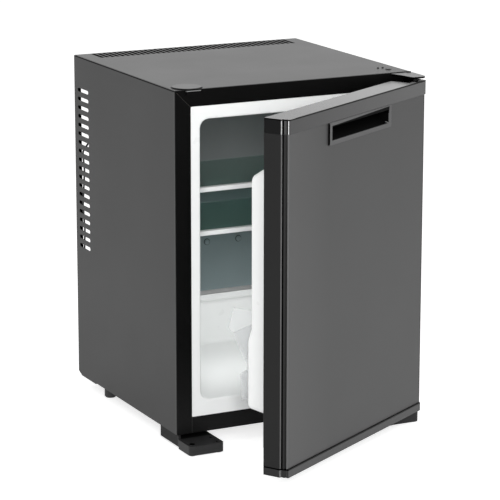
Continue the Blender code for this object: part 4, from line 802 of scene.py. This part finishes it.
def bead(name, points, radius, look, body, sides=8):
    turns = [k * math.tau / sides for k in range(sides)]
    circle = [Vector((radius * math.cos(turn), radius * math.sin(turn), 0.0)) for turn in turns]
    last = len(points) - 1
    bm = bmesh.new()
    rings = []
    for index, point in enumerate(points):
        ahead = points[min(index + 1, last)] - points[max(index - 1, 0)]
        facing = ahead.to_track_quat("Z", "Y")
        rings.append([bm.verts.new(point + facing @ corner) for corner in circle])
    close_tube(bm, rings)
    finish_piece(name, bm, look, body)


# %% [markdown]
# Under the slots in the top sits a grille of slanted blades in flat black. They are
# painted shade: from above they close the view into the bay, so the slots look black.

# %% Vent blades
BLADE_COUNT = 8
BLADE_PITCH = 0.006
BLADE_DROP = 0.0056
BLADE_THICK = 0.0004
BLADE_HALF = WRAP_HALF - 0.020
FIRST_BLADE = wrap_high.y - 0.0060
BLADES_TOP = wrap_high.z - 0.0014

# The blades are flat black, put there as painted shade.
shade_blade_black = Look("shade_blade_black", (0.001, 0.001, 0.001), 0.9)
shade_blade_black.feed("Specular IOR Level", 0.05)
shade_blade_black.feed("Roughness", shade_blade_black.noise(500.0, 2.0) * 0.1 + 0.8)

bm = bmesh.new()
for index in range(BLADE_COUNT):
    back_y = FIRST_BLADE - index * BLADE_PITCH
    front_y = back_y - BLADE_DROP
    low_z = BLADES_TOP - BLADE_DROP
    profile = [(front_y, BLADES_TOP), (front_y + BLADE_THICK, BLADES_TOP),
               (back_y, low_z + BLADE_THICK), (back_y, low_z)]
    close_tube(bm, [[bm.verts.new((DATUM.x + side * BLADE_HALF, y, z)) for y, z in profile]
                    for side in (-1, 1)])
finish_piece("vent_shade_blades", bm, shade_blade_black, "cabinet")

# %% [markdown]
# Round each round-headed screw of the cold panel lies a thin dark ring, painted shade
# round its head.

# %% Painted shade rings round the screws
SHADE_RING_STEPS = 24
SHADE_RING_GAP = 0.0003
SHADE_RING_BEAD = 0.0006

# Thin dark rings of painted shade round the screw heads.
shade_ring_dark = moulded("shade_ring_black", (0.012, 0.016, 0.018), 0.6, gloss=0.2)
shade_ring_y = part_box("evaporator_shield")[0].y - SHADE_RING_GAP
for side in ("left", "right"):
    low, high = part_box("shield_bolt_" + side)
    centre = (low + high) / 2
    radius = (high.x - low.x) / 2 + SHADE_RING_GAP
    turns = [k * math.tau / SHADE_RING_STEPS for k in range(SHADE_RING_STEPS + 1)]
    ring = [Vector((centre.x + radius * math.cos(turn), shade_ring_y,
                    centre.z + radius * math.sin(turn))) for turn in turns]
    bead("bolt_shade_ring_" + side, ring, SHADE_RING_BEAD, shade_ring_dark, "cabinet", sides=6)

# %% [markdown]
# At the handle's lower right corner the pocket's floor runs into its end wall. The fold
# there carries a painted highlight: a short pale bead along it.

# %% Fold in the handle
HANDLE_HEIGHT = 0.0332
FOLD_OFF_BAND = 0.0004
FOLD_START = 0.0006
FOLD_STEP = 0.0012
FOLD_RISE = 0.0002
FOLD_POINTS = 8
FOLD_BEAD = 0.0006

# A pale bead along the fold, a painted highlight.
fold_highlight_grey = moulded("fold_highlight_grey", (0.30, 0.30, 0.30), 0.3)
fold_a = HANDLE_RIGHT - HANDLE_BAND - FOLD_OFF_BAND
fold_z = HANDLE_TOP - HANDLE_HEIGHT + HANDLE_BAND + FOLD_OFF_BAND
fold_line = [door(fold_a, FOLD_START + FOLD_STEP * k, fold_z + FOLD_RISE * k)
             for k in range(FOLD_POINTS)]
bead("handle_fold_highlight", fold_line, FOLD_BEAD, fold_highlight_grey, "door")

# %% [markdown]
# The floor and the backdrop are pale to the camera and to anything that mirrors them.
# Both say so with Light Path, so that their paleness adds no light to the object itself,
# and the floor's own shading still carries the soft shadow that grounds the refrigerator.

# %% Seen or mirrored rays
def seen_rays(shader):
    """A mask that is 1 where a ray comes from the camera, a mirror or clear plastic."""
    camera_ray, mirrored, passed = [shader.node("ShaderNodeLightPath", output=kind) for kind in
                                    ("Is Camera Ray", "Is Glossy Ray", "Is Transmission Ray")]
    return camera_ray.at_least(mirrored).at_least(passed)


# %% [markdown]
# The floor is one large sheet of pale paper, just under the feet, so that no foot shares
# its plane. It is marked as stage, which keeps it out of the object.

# %% Floor
FLOOR_HALF = 6.0
FLOOR_BELOW = 0.0006
FLOOR_GLOW = 0.72

paper = Look("pale_paper", (0.80, 0.80, 0.80), 0.9)
paper.feed("Specular IOR Level", 0.0)
paper.feed("Emission Color", paper.blend(seen_rays(paper), NO_LIGHT, (FLOOR_GLOW,) * 3))
paper.feed("Emission Strength", 1.0)

bm = bmesh.new()
bmesh.ops.create_grid(bm, x_segments=1, y_segments=1, size=FLOOR_HALF)
floor_mesh = bpy.data.meshes.new("studio_floor")
bm.to_mesh(floor_mesh)
bm.free()
floor_mesh.materials.append(paper.material)
floor = bpy.data.objects.new("studio_floor", floor_mesh)
floor.location = (0.0, 0.0, -FLOOR_BELOW)
bpy.context.scene.collection.objects.link(floor)
floor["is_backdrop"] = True
print("floor glow", FLOOR_GLOW)

# %% [markdown]
# The backdrop is the world. The camera and mirrors see it white, and the object is lit by
# a dimmer one.

# %% Backdrop
WHITE = (1.0, 1.0, 1.0, 1.0)
AMBIENT = 0.45

world = bpy.data.worlds.new("studio")
world.use_nodes = True
bpy.context.scene.world = world
sky = Shader(world.node_tree, "Background")
sky.feed("Color", WHITE)
sky.feed("Strength", AMBIENT)
lighting = Signal(sky, sky.main.outputs["Background"])
backdrop = sky.node("ShaderNodeBackground", {}, {"Color": WHITE, "Strength": 1.0})
choice = sky.node("ShaderNodeMixShader", {}, {0: seen_rays(sky), 1: lighting, 2: backdrop})
sky.feed("Surface", choice, sky.tree.nodes["World Output"])
print("ambient", AMBIENT)

# %% [markdown]
# Three large soft lamps model the forms: one high over the object for its top, one near
# the camera that reaches into the cold space, and a weak one from the right for the door.
# A small fourth one inside the cold space lifts the shade on its floor.

# %% Lamps
LAMPS = {
    "over_top": ((0.3, 0.3, 2.6), (0.0, 0.0, 0.5), (1.6, 1.6), 10.0),
    "by_camera": ((-1.3, -2.6, 1.3), (0.0, 0.0, 0.3), (1.2, 1.2), 56.0),
    "right_front": ((2.0, -2.0, 1.3), (0.0, 0.0, 0.25), (1.4, 1.4), 10.0),
    "cold_space": (cabinet(0.0, 0.12, 0.160), cabinet(0.0, 0.12, 0.0), (0.26, 0.16), 0.16),
}
for name, (place, aim, size, power) in LAMPS.items():
    data = bpy.data.lights.new(name, "AREA")
    data.shape = "RECTANGLE"
    data.size, data.size_y = size
    data.energy = power
    lamp = bpy.data.objects.new(name, data)
    lamp.location = place
    lamp.rotation_euler = (Vector(aim) - Vector(place)).to_track_quat("-Z", "Y").to_euler()
    lamp.visible_camera = False
    lamp.visible_glossy = name != "cold_space"
    lamp.visible_transmission = False
    bpy.context.scene.collection.objects.link(lamp)
    print("lamp", name, power, "W")

# %% [markdown]
# The camera stands a good way off with a long lens, left of the front, and looks
# slightly down. Its place is measured from the cabinet's datum. It is turned by three
# directions of its own, to the right, upwards and back, because a fitted roll is easier
# to add that way than by angles.

# %% Camera
AZIMUTH = math.radians(-26.7599)
ELEVATION = math.radians(13.5039)
ROLL = math.radians(0.0558)
CAMERA_PLACE = cabinet(-1.72565, -3.26905, 1.15584)
LENS = 178.886

back = Vector((math.sin(AZIMUTH) * math.cos(ELEVATION), -math.cos(AZIMUTH) * math.cos(ELEVATION),
               math.sin(ELEVATION)))
right = Vector((math.cos(AZIMUTH), math.sin(AZIMUTH), 0.0))
up = back.cross(right)
turned_right = right * math.cos(ROLL) + up * math.sin(ROLL)
turned_up = up * math.cos(ROLL) - right * math.sin(ROLL)
pose = Matrix((turned_right, turned_up, back)).transposed().to_4x4()
pose.translation = CAMERA_PLACE

lens = bpy.data.cameras.new("camera")
lens.lens = LENS
lens.sensor_width = 36.0
lens.clip_end = 50.0
camera = bpy.data.objects.new("camera", lens)
camera.matrix_world = pose
bpy.context.scene.collection.objects.link(camera)
bpy.context.scene.camera = camera
bpy.context.scene.view_settings.view_transform = "Standard"
print("camera at", [round(v, 3) for v in CAMERA_PLACE])

# %% Sizes
low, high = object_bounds()
print("visual box", [round(v, 4) for v in low], [round(v, 4) for v in high])
